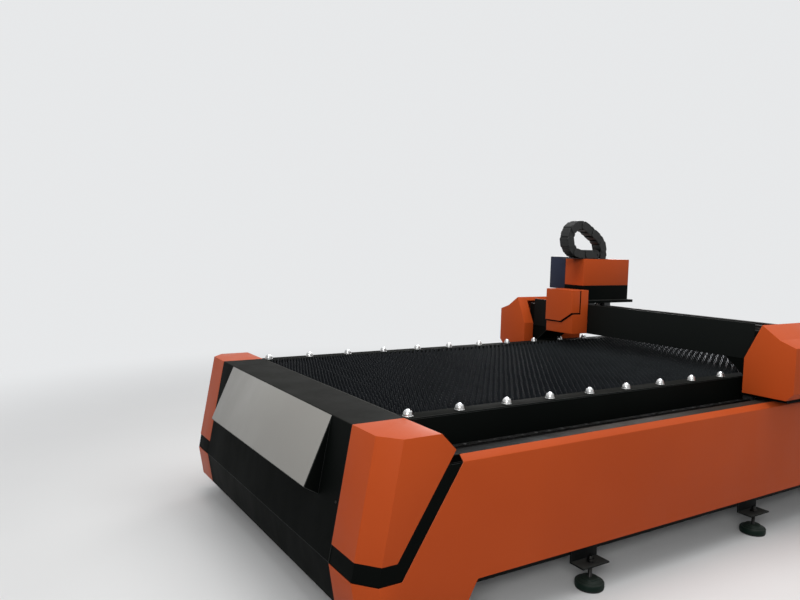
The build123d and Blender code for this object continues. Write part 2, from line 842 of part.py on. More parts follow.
def set_in(outline, wall):
    """A clockwise outline with each of its sides moved inwards by a wall."""
    inwards = []
    for (x0, z0), (x1, z1) in zip(outline, outline[1:] + outline[:1]):
        length = hypot(x1 - x0, z1 - z0)
        inwards.append(((z1 - z0) / length, (x0 - x1) / length))
    corners = []
    for (x, z), (ax, az), (bx, bz) in zip(outline, inwards[-1:] + inwards[:-1], inwards):
        shift = wall / (1 + ax * bx + az * bz)
        corners.append((x + shift * (ax + bx), z + shift * (az + bz)))
    return corners


def end_cover():
    """Faceted cover over the right end of the gantry, notched for the beam and open at its foot."""
    outline = end_cover_outline()
    outer = prism_y(outline, gantry_front, gantry_rear)
    inner = prism_y(set_in(outline, sheet), gantry_front + sheet, gantry_rear - sheet)
    low = foot_plate_top - overcut
    foot_opening = box(end_cover_inner + sheet, end_cover_outer - end_cover_corner_cut - 2 * sheet,
                       gantry_front + sheet, gantry_rear - sheet, low, end_cover_knee_z - sheet)
    notch = box(end_cover_inner - overcut, end_cover_ridge_x - end_cover_notch_margin,
                beam_front - end_cover_notch_gap, beam_rack_rear + slide_gap, low,
                beam_cover_top + slide_gap)
    return outer - inner - foot_opening - notch


def foot_plate():
    """Thick plate that rides on the bearing blocks of the right side, with a hole for the pinion's shaft."""
    y0, y1 = gantry_front + foot_plate_setback, gantry_rear - foot_plate_setback
    outer = end_cover_outer - foot_plate_setback
    plate = box(foot_plate_inner, outer, y0, y1, foot_plate_bottom, foot_plate_top)
    return plate - shaft_hole(servo_x, servo_y, foot_plate_bottom, foot_plate_top)


def gantry_block_places():
    inset = foot_plate_setback + block_end_margin + block_length / 2
    return (gantry_front + inset, gantry_rear - inset)


def gantry_blocks():
    """The four bearing blocks under the gantry's feet."""
    profile = block_profile(rail_x, side_beam_top)
    half = block_length / 2
    right = [prism_y(profile, y - half, y + half) for y in gantry_block_places()]
    return right + [other_side(block) for block in right]


def riser():
    """Welded box between the foot plate and the beam, with a gusset that reaches in under the beam."""
    outer = beam_half_length
    profile = [(foot_plate_inner, foot_plate_top), (outer, foot_plate_top), (outer, beam_bottom)]
    profile += [(riser_reach, beam_bottom), (riser_reach, beam_bottom - riser_lip)]
    profile += [(foot_plate_inner, riser_throat_z)]
    return prism_y(profile, beam_front, beam_rear)


def beam():
    """Rectangular tube across the gantry."""
    half = beam_half_length
    outer = box(-half, half, beam_front, beam_rear, beam_bottom, beam_top)
    inner = box(-half - overcut, half + overcut, beam_front + tube_wall, beam_rear - tube_wall,
                beam_bottom + tube_wall, beam_top - tube_wall)
    return outer - inner


def beam_cover():
    """Folded front cover of the beam, with a flange over the front rail."""
    y0, y1 = beam_cover_front, beam_front
    flange_y = y1 + beam_cover_flange - sheet
    profile = [(y0, beam_cover_bottom), (y1, beam_cover_bottom), (y1, beam_cover_top - sheet)]
    profile += [(flange_y, beam_cover_top - sheet), (flange_y, beam_cover_top), (y0, beam_cover_top)]
    return prism_x(profile, -beam_cover_half_length, beam_cover_half_length)


def beam_rail_places():
    return (beam_front + beam_rail_inset, beam_rear - beam_rail_rear_inset)


def beam_rails():
    half = beam_rail_half_length
    return [prism_x(rail_profile(y, beam_top), -half, half) for y in beam_rail_places()]


def beam_rack():
    half = beam_rack_half_length
    return box(-half, half, beam_rear, beam_rack_rear, beam_rack_bottom, beam_rack_bottom + rack_size)


# Carriage

def carriage_blocks():
    """The four bearing blocks under the saddle."""
    blocks = []
    for y in beam_rail_places():
        for place in (-carriage_block_spread, carriage_block_spread):
            x = carriage_x + place
            half = carriage_block_length / 2
            blocks.append(prism_x(block_profile(y, beam_top), x - half, x + half))
    return blocks


def saddle():
    """Plate over the beam, with a hole for the pinion's shaft."""
    plate = box(carriage_x - saddle_half_width, carriage_x + saddle_half_width, plate_rear,
                plate_rear + saddle_length, saddle_bottom, saddle_top)
    return plate - shaft_hole(housing_x, carriage_servo_y, saddle_bottom, saddle_top)


def front_plate():
    """Upright plate in front of the beam. The vertical rails, the screw and the covers are fixed to it."""
    half = carriage_cover_half - 2 * cover_sheet - 2 * touch_gap
    return box(carriage_x - half, carriage_x + half, plate_front, plate_rear, front_plate_bottom,
               front_plate_top)


def housing_shell(z0, z1, roof):
    """Walls round the carriage's drive between two heights, with a roof or open at the top."""
    y0 = plate_rear + touch_gap
    x0, x1 = housing_x - housing_half_width, housing_x + housing_half_width
    inner = box(x0 + sheet, x1 - sheet, y0 + sheet, y0 + housing_length - sheet, z0 - overcut, roof)
    return box(x0, x1, y0, y0 + housing_length, z0, z1) - inner


def saddle_housing():
    """Black housing on the saddle, open at its top and foot."""
    return housing_shell(saddle_top, housing_top, housing_top + overcut)


def top_box():
    """Orange box on the housing, open at its foot."""
    return housing_shell(housing_top, top_box_top, top_box_top - sheet)


def junction_box():
    """Closed box on the left side of the housing."""
    x1 = housing_x - housing_half_width - touch_gap
    y0 = plate_rear + touch_gap
    return box(x1 - junction_width, x1, y0, y0 + junction_depth, junction_bottom, junction_top)


def cover_front_y():
    return beam_cover_front - carriage_cover_front


def cover_shell(front, rear, half, low, top, roof):
    """Walls round the carriage's front and sides, closed by a roof or open at the top."""
    room = half - cover_sheet
    outer = box(carriage_x - half, carriage_x + half, front, rear, low, top)
    return outer - box(carriage_x - room, carriage_x + room, front + cover_sheet, rear + overcut,
                       low - overcut, roof)


def carriage_side_cover():
    """Cover round the front, the sides and the top of the carriage. The hood sits over its upper front."""
    shell = cover_shell(cover_front_y(), plate_rear, carriage_cover_half, carriage_cover_bottom,
                        carriage_cover_top, carriage_cover_top - cover_sheet)
    return shell - hood_region(hood_gap)


def hood_region(gap):
    """The space in front of the side cover that the hood takes, larger by a gap along its lower edge."""
    front = cover_front_y() - hood_stand_off
    rear = cover_front_y() + hood_return + gap
    reach = carriage_cover_half + hood_stand_off
    points = [(carriage_x - reach, hood_low_z - gap), (carriage_x + hood_cut_x, hood_low_z - gap)]
    points += [(carriage_x + carriage_cover_half, hood_high_z - gap), (carriage_x + reach, hood_high_z - gap)]
    past_top = carriage_cover_top + overcut
    points += [(carriage_x + reach, past_top), (carriage_x - reach, past_top)]
    return prism_y(points, front - overcut, rear)


def carriage_hood():
    """Front hood of the carriage, with its lower right corner cut off at a slant."""
    front, rear = cover_front_y() - hood_stand_off, cover_front_y() + hood_return
    shell = cover_shell(front, rear, carriage_cover_half, carriage_cover_bottom, carriage_cover_top,
                        carriage_cover_top - cover_sheet)
    return shell & hood_region(0)


def carriage_liner():
    """Dark inner cover, seen through the gap under the hood."""
    inset = cover_sheet + touch_gap
    top = carriage_cover_top - inset
    return cover_shell(cover_front_y() + inset, plate_rear, carriage_cover_half - inset,
                       carriage_cover_bottom + liner_rise, top, top + overcut)


# Vertical axis

def z_rails():
    half = z_rail_width / 2
    return [box(carriage_x + side * z_rail_spread - half, carriage_x + side * z_rail_spread + half,
                plate_front - z_rail_depth, plate_front, z_rail_bottom, z_rail_top) for side in (-1, 1)]


def z_blocks():
    """Four small bearing blocks that straddle the vertical rails."""
    half, slot = z_block_width / 2, z_rail_width / 2 + touch_gap
    near, rear = slide_rear, plate_front - z_block_gap
    roof = plate_front - z_rail_depth - touch_gap
    blocks = []
    for side in (-1, 1):
        middle = carriage_x + side * z_rail_spread
        outline = [(-half, near), (half, near), (half, rear), (slot, rear), (slot, roof)]
        outline += [(-slot, roof), (-slot, rear), (-half, rear)]
        points = [(middle + across, along) for across, along in outline]
        for low in (slide_plate_bottom, slide_plate_top - z_block_length):
            blocks.append(prism_z(points, low, low + z_block_length))
    return blocks


def slide_plate():
    half = slide_plate_half_width
    return box(carriage_x - half, carriage_x + half, slide_front, slide_rear, slide_plate_bottom,
               slide_plate_top)


def screw_nut():
    """Nut block behind the slide plate, bored for the screw."""
    middle = (slide_plate_bottom + slide_plate_top) / 2
    half = nut_half_width
    block = box(carriage_x - half, carriage_x + half, slide_rear, plate_front - nut_gap,
                middle - nut_height / 2, middle + nut_height / 2)
    bore_r = screw_r + screw_clearance
    return block - rod(carriage_x, screw_y, bore_r, middle - nut_height, middle + nut_height)


def lift_screw():
    """Screw between its two bearing blocks. Its journals are inside them."""
    return rod(carriage_x, screw_y, screw_r, z_rail_bottom + screw_bearing_height, z_rail_top)


def screw_bearing(z0):
    """Closed bearing block at one end of the screw, clear of the slide plate that passes in front of it."""
    half = z_motor_size / 2
    return box(carriage_x - half, carriage_x + half, slide_rear + screw_bearing_gap, plate_front, z0,
               z0 + screw_bearing_height)


def z_motor():
    base = z_rail_top + screw_bearing_height
    points = squared(carriage_x, screw_y, z_motor_size, z_motor_corner)
    return prism_z(points, base, base + z_motor_height)


# Cutting head

def head_body():
    """Block of the cutting head, clamped to the slide plate."""
    half = head_half_width
    block = box(carriage_x - half, carriage_x + half, slide_front - head_depth, slide_front,
                slide_plate_bottom, head_top)
    edges = block.edges().filter_by(Axis.Z).sort_by(Axis.Y)[:2]
    return chamfer(edges, head_edge_cut)


def collimator():
    profile = [(collimator_r, head_top), (collimator_r, head_top + collimator_height)]
    return faceted(profile, carriage_x, head_y, head_sides)


def head_tube():
    """Turned barrel under the head's block, which tapers to the nozzle's seat."""
    profile = [(head_nose_r, head_nose_bottom), (head_tube_r, head_tube_bottom)]
    profile += [(head_tube_r, slide_plate_bottom)]
    return faceted(profile, carriage_x, head_y, head_sides)


def nozzle():
    tip = head_nose_bottom - nozzle_length
    return faceted([(nozzle_tip_r, tip), (nozzle_r, head_nose_bottom)], carriage_x, head_y, head_sides)


# Drag chain: links along a teardrop path that stands on the top box

def chain_path():
    """Straight runs and arcs of the chain's middle line, as (length, turn in radians), and its start."""
    base_z = top_box_top + chain_bracket_sheet + chain_height / 2
    bend, dive = chain_bend_r, radians(chain_dive_deg)
    arc_y = chain_front_reach + chain_height / 2 + bend
    arc_z = base_z + bend
    leave_y, leave_z = arc_y + bend * sin(dive), arc_z + bend * cos(dive)
    rear_y = chain_rear_y - chain_height / 2
    tangent = bend * tan((pi / 2 - dive) / 2)
    dive_run = (rear_y - leave_y) / cos(dive) - tangent
    corner_z = leave_z - (rear_y - leave_y) * tan(dive)
    drop = corner_z - tangent - (top_box_top + chain_bracket_sheet + touch_gap)
    runs = [(chain_tail_y - arc_y, 0.0), (bend * (pi + dive), -(pi + dive)), (dive_run, 0.0)]
    runs += [(bend * (pi / 2 - dive), -(pi / 2 - dive)), (drop, 0.0)]
    return runs, (chain_tail_y, base_z)


def chain_joint(distance):
    """The point at a distance along the chain's middle line."""
    runs, (y, z) = chain_path()
    heading = pi
    for length, turn in runs:
        step = min(distance, length)
        if turn == 0:
            y, z = y + step * cos(heading), z + step * sin(heading)
        else:
            radius, swept = length / -turn, turn * step / length
            y += radius * (sin(heading) - sin(heading + swept))
            z += radius * (cos(heading + swept) - cos(heading))
            heading += swept
        distance -= step
        if distance <= 0:
            break
    return y, z


def chain_link(start, end):
    """One hollow link between two joints, waisted so that neighbours clear each other in a bend."""
    (y0, z0), (y1, z1) = start, end
    middle_y, middle_z, turn = (y0 + y1) / 2, (z0 + z1) / 2, atan2(z1 - z0, y1 - y0)
    half, high = hypot(y1 - y0, z1 - z0) / 2 - touch_gap / 2, chain_height / 2
    shoulder = half * link_shoulder

    def placed(points):
        return [(middle_y + a * cos(turn) - b * sin(turn), middle_z + a * sin(turn) + b * cos(turn))
                for a, b in points]

    outline = [(half, 0), (shoulder, high), (-shoulder, high), (-half, 0)]
    outline += [(-shoulder, -high), (shoulder, -high)]
    room, past = high - chain_wall_bar, half + overcut
    channel = [(past, -room), (past, room), (-past, room), (-past, -room)]
    x0, x1 = chain_x - chain_width / 2, chain_x + chain_width / 2
    link = prism_x(placed(outline), x0, x1)
    return link - prism_x(placed(channel), x0 + chain_wall_side, x1 - chain_wall_side)


def drag_chain():
    length = sum(run for run, turn in chain_path()[0])
    joints = [chain_joint(length * index / chain_links) for index in range(chain_links + 1)]
    return [chain_link(start, end) for start, end in zip(joints, joints[1:])]


def chain_bracket():
    """Plate on the top box that both ends of the chain are fixed to."""
    half = chain_width / 2 + chain_bracket_side_margin
    return box(chain_x - half, chain_x + half, plate_rear + chain_bracket_front_margin,
               chain_rear_y + chain_bracket_rear_margin, top_box_top, top_box_top + chain_bracket_sheet)


# Every node

write("side_beams", *both(side_beam()))
write("lower_frame", *both(lower_beam(), *posts()))
write("cross_members", *cross_tubes(), end_bar(), other_end(end_bar()))
write("foot_brackets", *both(*[foot_bracket(y) for y in foot_places]))
write("levelling_feet", *both(*[levelling_foot(y) for y in foot_places]))
write("table_sides", *both(table_side()))
write("ball_strips", *both(ball_strip()))
write("ball_transfers", *both(*[ball_transfer(y) for y in ball_places()]))
write("slat_supports", *both(slat_ledge()), centre_rail(), table_end(table_front), table_end(table_rear))
write("slats", *slats())
write("scrap_trays", *scrap_trays())
write("rear_deck", rear_deck())
write("front_hood", hood(table_front))
write("rear_hood", other_end(hood(-rear_hood_edge)))
write("front_kick_panel", kick_panel())
write("rear_kick_panel", other_end(kick_panel()))
write("front_panel", front_panel())
write("front_corner_cover_right", corner_cover())
write("front_corner_cover_left", other_side(corner_cover()))
write("rear_corner_cover_right", other_end(corner_cover()))
write("rear_corner_cover_left", other_end(other_side(corner_cover())))
write("corner_liners", *both(corner_liner(), other_end(corner_liner())))
write("skirt_right", skirt())
write("skirt_left", other_side(skirt()))
write("bed_rails", *both(prism_y(rail_profile(rail_x, side_beam_top), -rail_half_length, rail_half_length)))
write("bed_racks", *both(bed_rack()))
write("ledge_strips", *both(ledge_strip()))

write("foot_plates", *both(foot_plate()))
write("gantry_blocks", *gantry_blocks())
write("risers", *both(riser()))
write("end_cover_right", end_cover())
write("end_cover_left", other_side(end_cover()))
gantry_gearbox = gearbox(servo_x, servo_y, foot_plate_top)
gantry_servo = servo(servo_x, servo_y, foot_plate_top + gearbox_height)
write("gantry_drives", *both(gantry_gearbox, gantry_servo))
write("gantry_pinion_right", gantry_pinion())
write("gantry_pinion_left", other_side(gantry_pinion()))
write("beam", beam())
write("beam_cover", beam_cover())
write("beam_rails", *beam_rails())
write("beam_rack", beam_rack())

write("carriage_blocks", *carriage_blocks())
write("saddle", saddle())
write("front_plate", front_plate())
write("saddle_housing", saddle_housing())
write("top_box", top_box())
write("junction_box", junction_box())
write("carriage_side_cover", carriage_side_cover())
write("carriage_hood", carriage_hood())
write("carriage_liner", carriage_liner())
write("carriage_drive", gearbox(housing_x, carriage_servo_y, saddle_top),
      servo(housing_x, carriage_servo_y, saddle_top + gearbox_height))
write("carriage_pinion", pinion(housing_x, carriage_servo_y, beam_rack_bottom + rack_lap, saddle_top))
write("z_rails", *z_rails())
write("z_motor", z_motor())
write("screw_bearings", screw_bearing(z_rail_bottom), screw_bearing(z_rail_top))
write("lift_screw", lift_screw())
write("drag_chain", *drag_chain(), chain_bracket())

write("slide_carriage", *z_blocks(), slide_plate(), screw_nut())
write("head_body", head_body())
write("collimator", collimator())
write("head_tube", head_tube())
write("nozzle", nozzle())
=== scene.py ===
import json
import math
import random

import bmesh
import bpy
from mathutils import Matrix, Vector
from mathutils.bvhtree import BVHTree

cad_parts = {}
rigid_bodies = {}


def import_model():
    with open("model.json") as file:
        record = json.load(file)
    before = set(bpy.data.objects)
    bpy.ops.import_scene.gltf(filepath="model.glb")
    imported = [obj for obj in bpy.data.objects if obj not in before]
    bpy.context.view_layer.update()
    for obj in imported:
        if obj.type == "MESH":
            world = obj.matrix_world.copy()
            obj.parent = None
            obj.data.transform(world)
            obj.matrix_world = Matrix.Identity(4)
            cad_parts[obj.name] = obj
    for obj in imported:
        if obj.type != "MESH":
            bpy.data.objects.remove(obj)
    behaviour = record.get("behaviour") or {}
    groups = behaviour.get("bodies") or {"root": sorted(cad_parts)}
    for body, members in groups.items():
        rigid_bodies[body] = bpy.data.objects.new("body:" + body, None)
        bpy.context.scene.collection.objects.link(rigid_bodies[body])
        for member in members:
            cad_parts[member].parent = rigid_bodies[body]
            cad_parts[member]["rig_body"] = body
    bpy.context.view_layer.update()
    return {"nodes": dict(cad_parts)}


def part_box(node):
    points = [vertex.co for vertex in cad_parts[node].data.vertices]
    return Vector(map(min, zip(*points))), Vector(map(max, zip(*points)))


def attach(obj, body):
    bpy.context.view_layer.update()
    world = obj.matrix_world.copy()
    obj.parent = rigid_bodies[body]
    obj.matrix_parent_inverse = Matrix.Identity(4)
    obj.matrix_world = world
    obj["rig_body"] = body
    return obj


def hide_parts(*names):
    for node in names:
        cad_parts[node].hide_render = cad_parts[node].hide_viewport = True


# Flatbed laser cutting machine. Metres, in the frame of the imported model: +Z up, the front end at -Y.

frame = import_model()
nodes = frame["nodes"]

# Camera, at the photograph's place
CAMERA_PLACE = (3.1706, -3.399, 1.546)
CAMERA_TURN = (85.504, -1.547, 58.094)
CAMERA_LENS = 31.375


# Materials

class Shader:
    """A node material under construction. Its patterns lie in the object's own coordinates, in metres."""

    def __init__(self, name, colour, roughness, metallic=0.0, specular=0.5):
        self.material = bpy.data.materials.new(name)
        self.material.use_nodes = True
        self.tree = self.material.node_tree
        self.surface = self.tree.nodes["Principled BSDF"]
        self.surface.inputs["Base Color"].default_value = (*colour, 1.0)
        self.surface.inputs["Roughness"].default_value = roughness
        self.surface.inputs["Metallic"].default_value = metallic
        self.surface.inputs["Specular IOR Level"].default_value = specular
        self.place = self.tree.nodes.new("ShaderNodeTexCoord").outputs["Object"]
        self.normal = None

    def link(self, source, target):
        self.tree.links.new(source, target)

    def stretched(self, scale):
        """The object's coordinates, stretched."""
        mapping = self.tree.nodes.new("ShaderNodeMapping")
        mapping.inputs["Scale"].default_value = scale
        self.link(self.place, mapping.inputs["Vector"])
        return mapping.outputs["Vector"]

    def noise(self, scale, detail=2.0, roughness=0.55, place=None):
        node = self.tree.nodes.new("ShaderNodeTexNoise")
        node.inputs["Scale"].default_value = scale
        node.inputs["Detail"].default_value = detail
        node.inputs["Roughness"].default_value = roughness
        self.link(place or self.place, node.inputs["Vector"])
        return node.outputs["Fac"]

    def ramp(self, value, low, high, to_low=0.0, to_high=1.0):
        """A value from low to high, spread from to_low to to_high and held there."""
        node = self.tree.nodes.new("ShaderNodeMapRange")
        node.interpolation_type = "SMOOTHSTEP"
        ends = {"From Min": low, "From Max": high, "To Min": to_low, "To Max": to_high}
        for socket, number in ends.items():
            node.inputs[socket].default_value = number
        self.link(value, node.inputs["Value"])
        return node.outputs["Result"]

    def times(self, first, second):
        node = self.tree.nodes.new("ShaderNodeMath")
        node.operation = "MULTIPLY"
        for value, socket in ((first, node.inputs[0]), (second, node.inputs[1])):
            if isinstance(value, float):
                socket.default_value = value
            else:
                self.link(value, socket)
        return node.outputs[0]

    def mix(self, factor, first, second):
        """One colour turning into another. Each is a colour or a socket."""
        node = self.tree.nodes.new("ShaderNodeMix")
        node.data_type = "RGBA"
        self.link(factor, node.inputs["Factor"])
        for value, socket in ((first, node.inputs["A"]), (second, node.inputs["B"])):
            colour_socket = [s for s in node.inputs if s.name == socket.name and s.type == "RGBA"][0]
            if isinstance(value, tuple):
                colour_socket.default_value = (*value, 1.0)
            else:
                self.link(value, colour_socket)
        return [s for s in node.outputs if s.type == "RGBA"][0]

    def facing_up(self, low, high):
        """How far a surface faces up."""
        geometry = self.tree.nodes.new("ShaderNodeNewGeometry")
        parts = self.tree.nodes.new("ShaderNodeSeparateXYZ")
        self.link(geometry.outputs["Normal"], parts.inputs["Vector"])
        return self.ramp(parts.outputs["Z"], low, high)

    def colour(self, source):
        self.link(source, self.surface.inputs["Base Color"])

    def roughness(self, source):
        self.link(source, self.surface.inputs["Roughness"])

    def bump(self, height, depth, strength=1.0):
        """Adds relief of a depth in metres, on top of what is there."""
        node = self.tree.nodes.new("ShaderNodeBump")
        node.inputs["Distance"].default_value = depth
        node.inputs["Strength"].default_value = strength
        self.link(height, node.inputs["Height"])
        if self.normal:
            self.link(self.normal, node.inputs["Normal"])
        self.normal = node.outputs["Normal"]
        self.link(self.normal, self.surface.inputs["Normal"])


# The first colour is laid on the coats' upward faces: dust, and painted light on the tops.
DUST_AND_TOP_LIGHT = (0.36, 0.34, 0.31)
LINT = (0.55, 0.52, 0.47)
GRIME = (0.003, 0.003, 0.0035)
RUST = (0.06, 0.03, 0.018)


def powder_coat(name, colour, shade, roughness, dust_and_top_light=0.25, peel=0.00006, specular=0.4):
    """Powder-coated sheet: slow drift of colour, fine pebbled grain, and a lighter tone on what faces up,
    partly dust and partly painted light on the tops.
    """
    shader = Shader(name, colour, roughness[0], specular=specular)
    drift = shader.ramp(shader.noise(1.3, 2.0), 0.3, 0.7)
    cloud = shader.noise(9.0, 5.0, 0.6)
    speck = shader.ramp(shader.noise(140.0, 3.0), 0.62, 0.8)
    painted = shader.mix(drift, colour, shade)
    # Faces that look up are lightened towards the dust colour: real dust, and painted light on the tops.
    lying = shader.times(shader.facing_up(0.3, 0.95), shader.ramp(cloud, 0.3, 0.75, 0.72, 1.0))
    dusted_and_top_lit = shader.mix(shader.times(lying, dust_and_top_light), painted, DUST_AND_TOP_LIGHT)
    flecked = shader.mix(shader.times(shader.times(speck, lying), 0.5 * dust_and_top_light), dusted_and_top_lit, LINT)
    shader.colour(flecked)
    streaks = shader.noise(7.0, 6.0, 0.65, shader.stretched((1.0, 1.0, 0.3)))
    shader.roughness(shader.ramp(streaks, 0.3, 0.7, *roughness))
    shader.bump(shader.noise(2.6, 1.0), 0.0012, 0.5)
    shader.bump(shader.noise(520.0, 2.0), peel)
    return shader.material


def worn_and_highlit_edge(name, colour, bare, specular):
    """The same coat on a rim: thinner, lighter as a painted highlight, and rubbed through in a few spots."""
    shader = Shader(name, colour, 0.42, specular=specular)
    rubbed = shader.ramp(shader.noise(55.0, 5.0, 0.7), 0.66, 0.74)
    patch = shader.ramp(shader.noise(3.1, 2.0), 0.52, 0.68)
    # The rim colour is lighter than the coat, a painted highlight; the bare patches are real wear.
    shader.colour(shader.mix(shader.times(rubbed, patch), colour, bare))
    shader.roughness(shader.ramp(shader.noise(60.0, 3.0), 0.3, 0.7, 0.34, 0.52))
    shader.bump(shader.noise(480.0, 2.0), 0.00005)
    return shader.material


def metal(name, colour, shade, roughness, grain=(1.0, 1.0, 1.0), relief=0.00003, bare=1.0):
    """Metal with a drawn or ground grain, bare or under a film of oil.

    The grain runs along the axis that is stretched least.
    """
    shader = Shader(name, colour, roughness[0], bare, specular=0.5 * bare)
    lines = shader.noise(420.0, 3.0, 0.6, shader.stretched(grain))
    cloud = shader.noise(11.0, 4.0, 0.6)
    shader.colour(shader.mix(shader.ramp(cloud, 0.3, 0.72), colour, shade))
    shader.roughness(shader.ramp(lines, 0.3, 0.7, *roughness))
    shader.bump(lines, relief)
    return shader.material


def plastic(name, colour, shade, roughness=(0.45, 0.6), specular=0.5):
    """Moulded plastic with a fine sparked texture and a trace of dust."""
    shader = Shader(name, colour, roughness[0], specular=specular)
    cloud = shader.noise(16.0, 4.0)
    lying = shader.times(shader.facing_up(0.2, 0.9), shader.ramp(cloud, 0.3, 0.7))
    shader.colour(shader.mix(lying, colour, shade))
    shader.roughness(shader.ramp(cloud, 0.3, 0.7, *roughness))
    shader.bump(shader.noise(900.0, 2.0), 0.00005)
    return shader.material


def mill_scale(name, front, middle, rear):
    """Steel with its dark bluish scale, streaked and a little rusty.

    Its colour changes twice from front to rear, the second time along a slanting line and more towards +X;
    the rear colour is painted light, shade on the slat faces under the beam and a highlight on the backlit
    tooth tips beyond it.
    """
    shader = Shader(name, front, 0.38, 0.15, specular=0.15)
    parts = shader.tree.nodes.new("ShaderNodeSeparateXYZ")
    shader.link(shader.place, parts.inputs["Vector"])
    scaled = shader.mix(shader.ramp(parts.outputs["Y"], -1.0, 0.3), front, middle)
    streaks = shader.times(shader.ramp(shader.noise(7.0, 6.0, 0.65), 0.32, 0.7), 0.3)
    streaked = shader.mix(streaks, scaled, GRIME)
    slant = shader.tree.nodes.new("ShaderNodeVectorMath")
    slant.operation = "DOT_PRODUCT"
    slant.inputs[1].default_value = (0.35, 1.0, 0.0)
    shader.link(shader.place, slant.inputs[0])
    # Painted light at the rear: painted shade on the faces and a painted highlight on the top edges.
    far = shader.times(shader.ramp(slant.outputs["Value"], 0.72, 1.0),
                       shader.ramp(parts.outputs["X"], -0.5, 0.6, 0.4, 1.0))
    rear_lit_and_shaded = shader.mix(far, streaked, rear)
    rust = shader.times(shader.ramp(shader.noise(31.0, 5.0, 0.7), 0.64, 0.78), 0.35)
    shader.colour(shader.mix(rust, rear_lit_and_shaded, RUST))
    shader.roughness(shader.ramp(shader.noise(40.0, 4.0), 0.3, 0.7, 0.38, 0.62))
    shader.bump(shader.noise(260.0, 3.0), 0.00008)
    return shader.material


def greased_and_shaded_coat(name, front, rear, start, end):
    """Glossy coat that is darker at the front, from grease and painted shade where the covers overhang. It
    turns to its rear colour between two places along Y.
    """
    shader = Shader(name, rear, 0.46, specular=0.07)
    parts = shader.tree.nodes.new("ShaderNodeSeparateXYZ")
    shader.link(shader.place, parts.inputs["Vector"])
    # Darker towards the front: grease, and painted shade under the covers.
    shader.colour(shader.mix(shader.ramp(parts.outputs["Y"], start, end), front, rear))
    shader.roughness(shader.ramp(shader.noise(7.0, 5.0), 0.3, 0.7, 0.42, 0.54))
    shader.bump(shader.noise(520.0, 2.0), 0.00002)
    return shader.material


ORANGE = (0.475, 0.072, 0.0135)
ORANGE_SHADE = (0.43, 0.063, 0.0115)
BLACK = (0.0030, 0.0038, 0.0033)
BLACK_SHADE = (0.0022, 0.0028, 0.0025)

orange = powder_coat("orange_coat", ORANGE, ORANGE_SHADE, (0.38, 0.47), dust_and_top_light=0.025, specular=0.1)
# The edge coats are lighter than their coats: a painted highlight on cut edges, rims and eased edges, with
# real rubbed-through wear.
orange_edge = worn_and_highlit_edge("orange_edge", (0.58, 0.125, 0.050), (0.36, 0.31, 0.28), specular=0.2)
black = powder_coat("black_coat", BLACK, BLACK_SHADE, (0.52, 0.62), dust_and_top_light=0.035, specular=0.02)
black_edge = worn_and_highlit_edge("black_edge", (0.022, 0.024, 0.023), (0.16, 0.15, 0.145), specular=0.12)
# A lighter copy of the black coat for the beam and its cover: painted light that lifts them out of the shade
# they stand in.
beam_black = powder_coat("beam_coat", (0.0056, 0.0068, 0.0063), (0.0046, 0.0056, 0.0052), (0.5, 0.6),
                         dust_and_top_light=0.02, specular=0.05)
strip_black = powder_coat("strip_coat", BLACK, BLACK_SHADE, (0.6, 0.7), dust_and_top_light=0.02, specular=0.01)
frame_black = powder_coat("frame_paint", (0.006, 0.0065, 0.0065), (0.004, 0.0045, 0.0045), (0.55, 0.72),
                          dust_and_top_light=0.1, peel=0.00012, specular=0.06)
gloss_strip = greased_and_shaded_coat("gloss_strip", (0.0035, 0.0037, 0.0036), (0.028, 0.0215, 0.0175), -1.32, -0.98)
panel_grey = powder_coat("panel_grey", (0.32, 0.31, 0.285), (0.285, 0.275, 0.254), (0.3, 0.42), dust_and_top_light=0.04)
junction_blue = powder_coat("junction_paint", (0.024, 0.029, 0.055), (0.018, 0.022, 0.042), (0.38, 0.5),
                            specular=0.12)
foot_green = powder_coat("foot_paint", (0.005, 0.015, 0.010), (0.0035, 0.010, 0.007), (0.4, 0.6),
                         dust_and_top_light=0.05, peel=0.0002, specular=0.12)
# At the front the top edges are darker than the faces, painted shade that evens out the light they catch
# facing up. At the rear the faces carry painted shade and the top edges a painted highlight, brightest on
# every second slat.
slat_face = mill_scale("slat_scale", front=(0.0180, 0.0205, 0.0240), middle=(0.0285, 0.0325, 0.0350),
                       rear=(0.006, 0.0065, 0.007))
slat_cut = mill_scale("slat_cut_edge", front=(0.0066, 0.0076, 0.0088), middle=(0.0165, 0.0185, 0.0200),
                      rear=(0.022, 0.024, 0.026))
slat_clean_backlit = mill_scale("slat_clean_edge", front=(0.0076, 0.0088, 0.0100), middle=(0.0175, 0.0198, 0.0215),
                        rear=(0.80, 0.82, 0.85))
tray_steel = metal("tray_steel", (0.20, 0.20, 0.20), (0.12, 0.118, 0.115), (0.35, 0.55), (1.0, 0.05, 1.0))
ground_steel = metal("ground_steel", (0.60, 0.60, 0.59), (0.53, 0.53, 0.525), (0.2, 0.3), (1.0, 0.02, 1.0),
                     relief=0.00001)
rail_steel = metal("beam_rail_steel", (0.04, 0.039, 0.037), (0.028, 0.027, 0.026), (0.4, 0.5),
                   (0.02, 1.0, 1.0), relief=0.00001, bare=0.2)
oiled_steel = metal("oiled_steel", (0.11, 0.11, 0.108), (0.075, 0.074, 0.072), (0.22, 0.36), (1.0, 0.03, 1.0))
cut_steel = metal("cut_steel", (0.42, 0.42, 0.42), (0.3, 0.3, 0.3), (0.28, 0.42), (0.2, 1.0, 1.0))
zinc = metal("zinc", (0.54, 0.54, 0.53), (0.40, 0.40, 0.40), (0.2, 0.34))
black_oxide = metal("black_oxide", (0.035, 0.034, 0.033), (0.02, 0.0195, 0.019), (0.35, 0.5))
chrome = metal("ball_chrome", (0.86, 0.87, 0.88), (0.74, 0.75, 0.77), (0.04, 0.1), relief=0.000004)
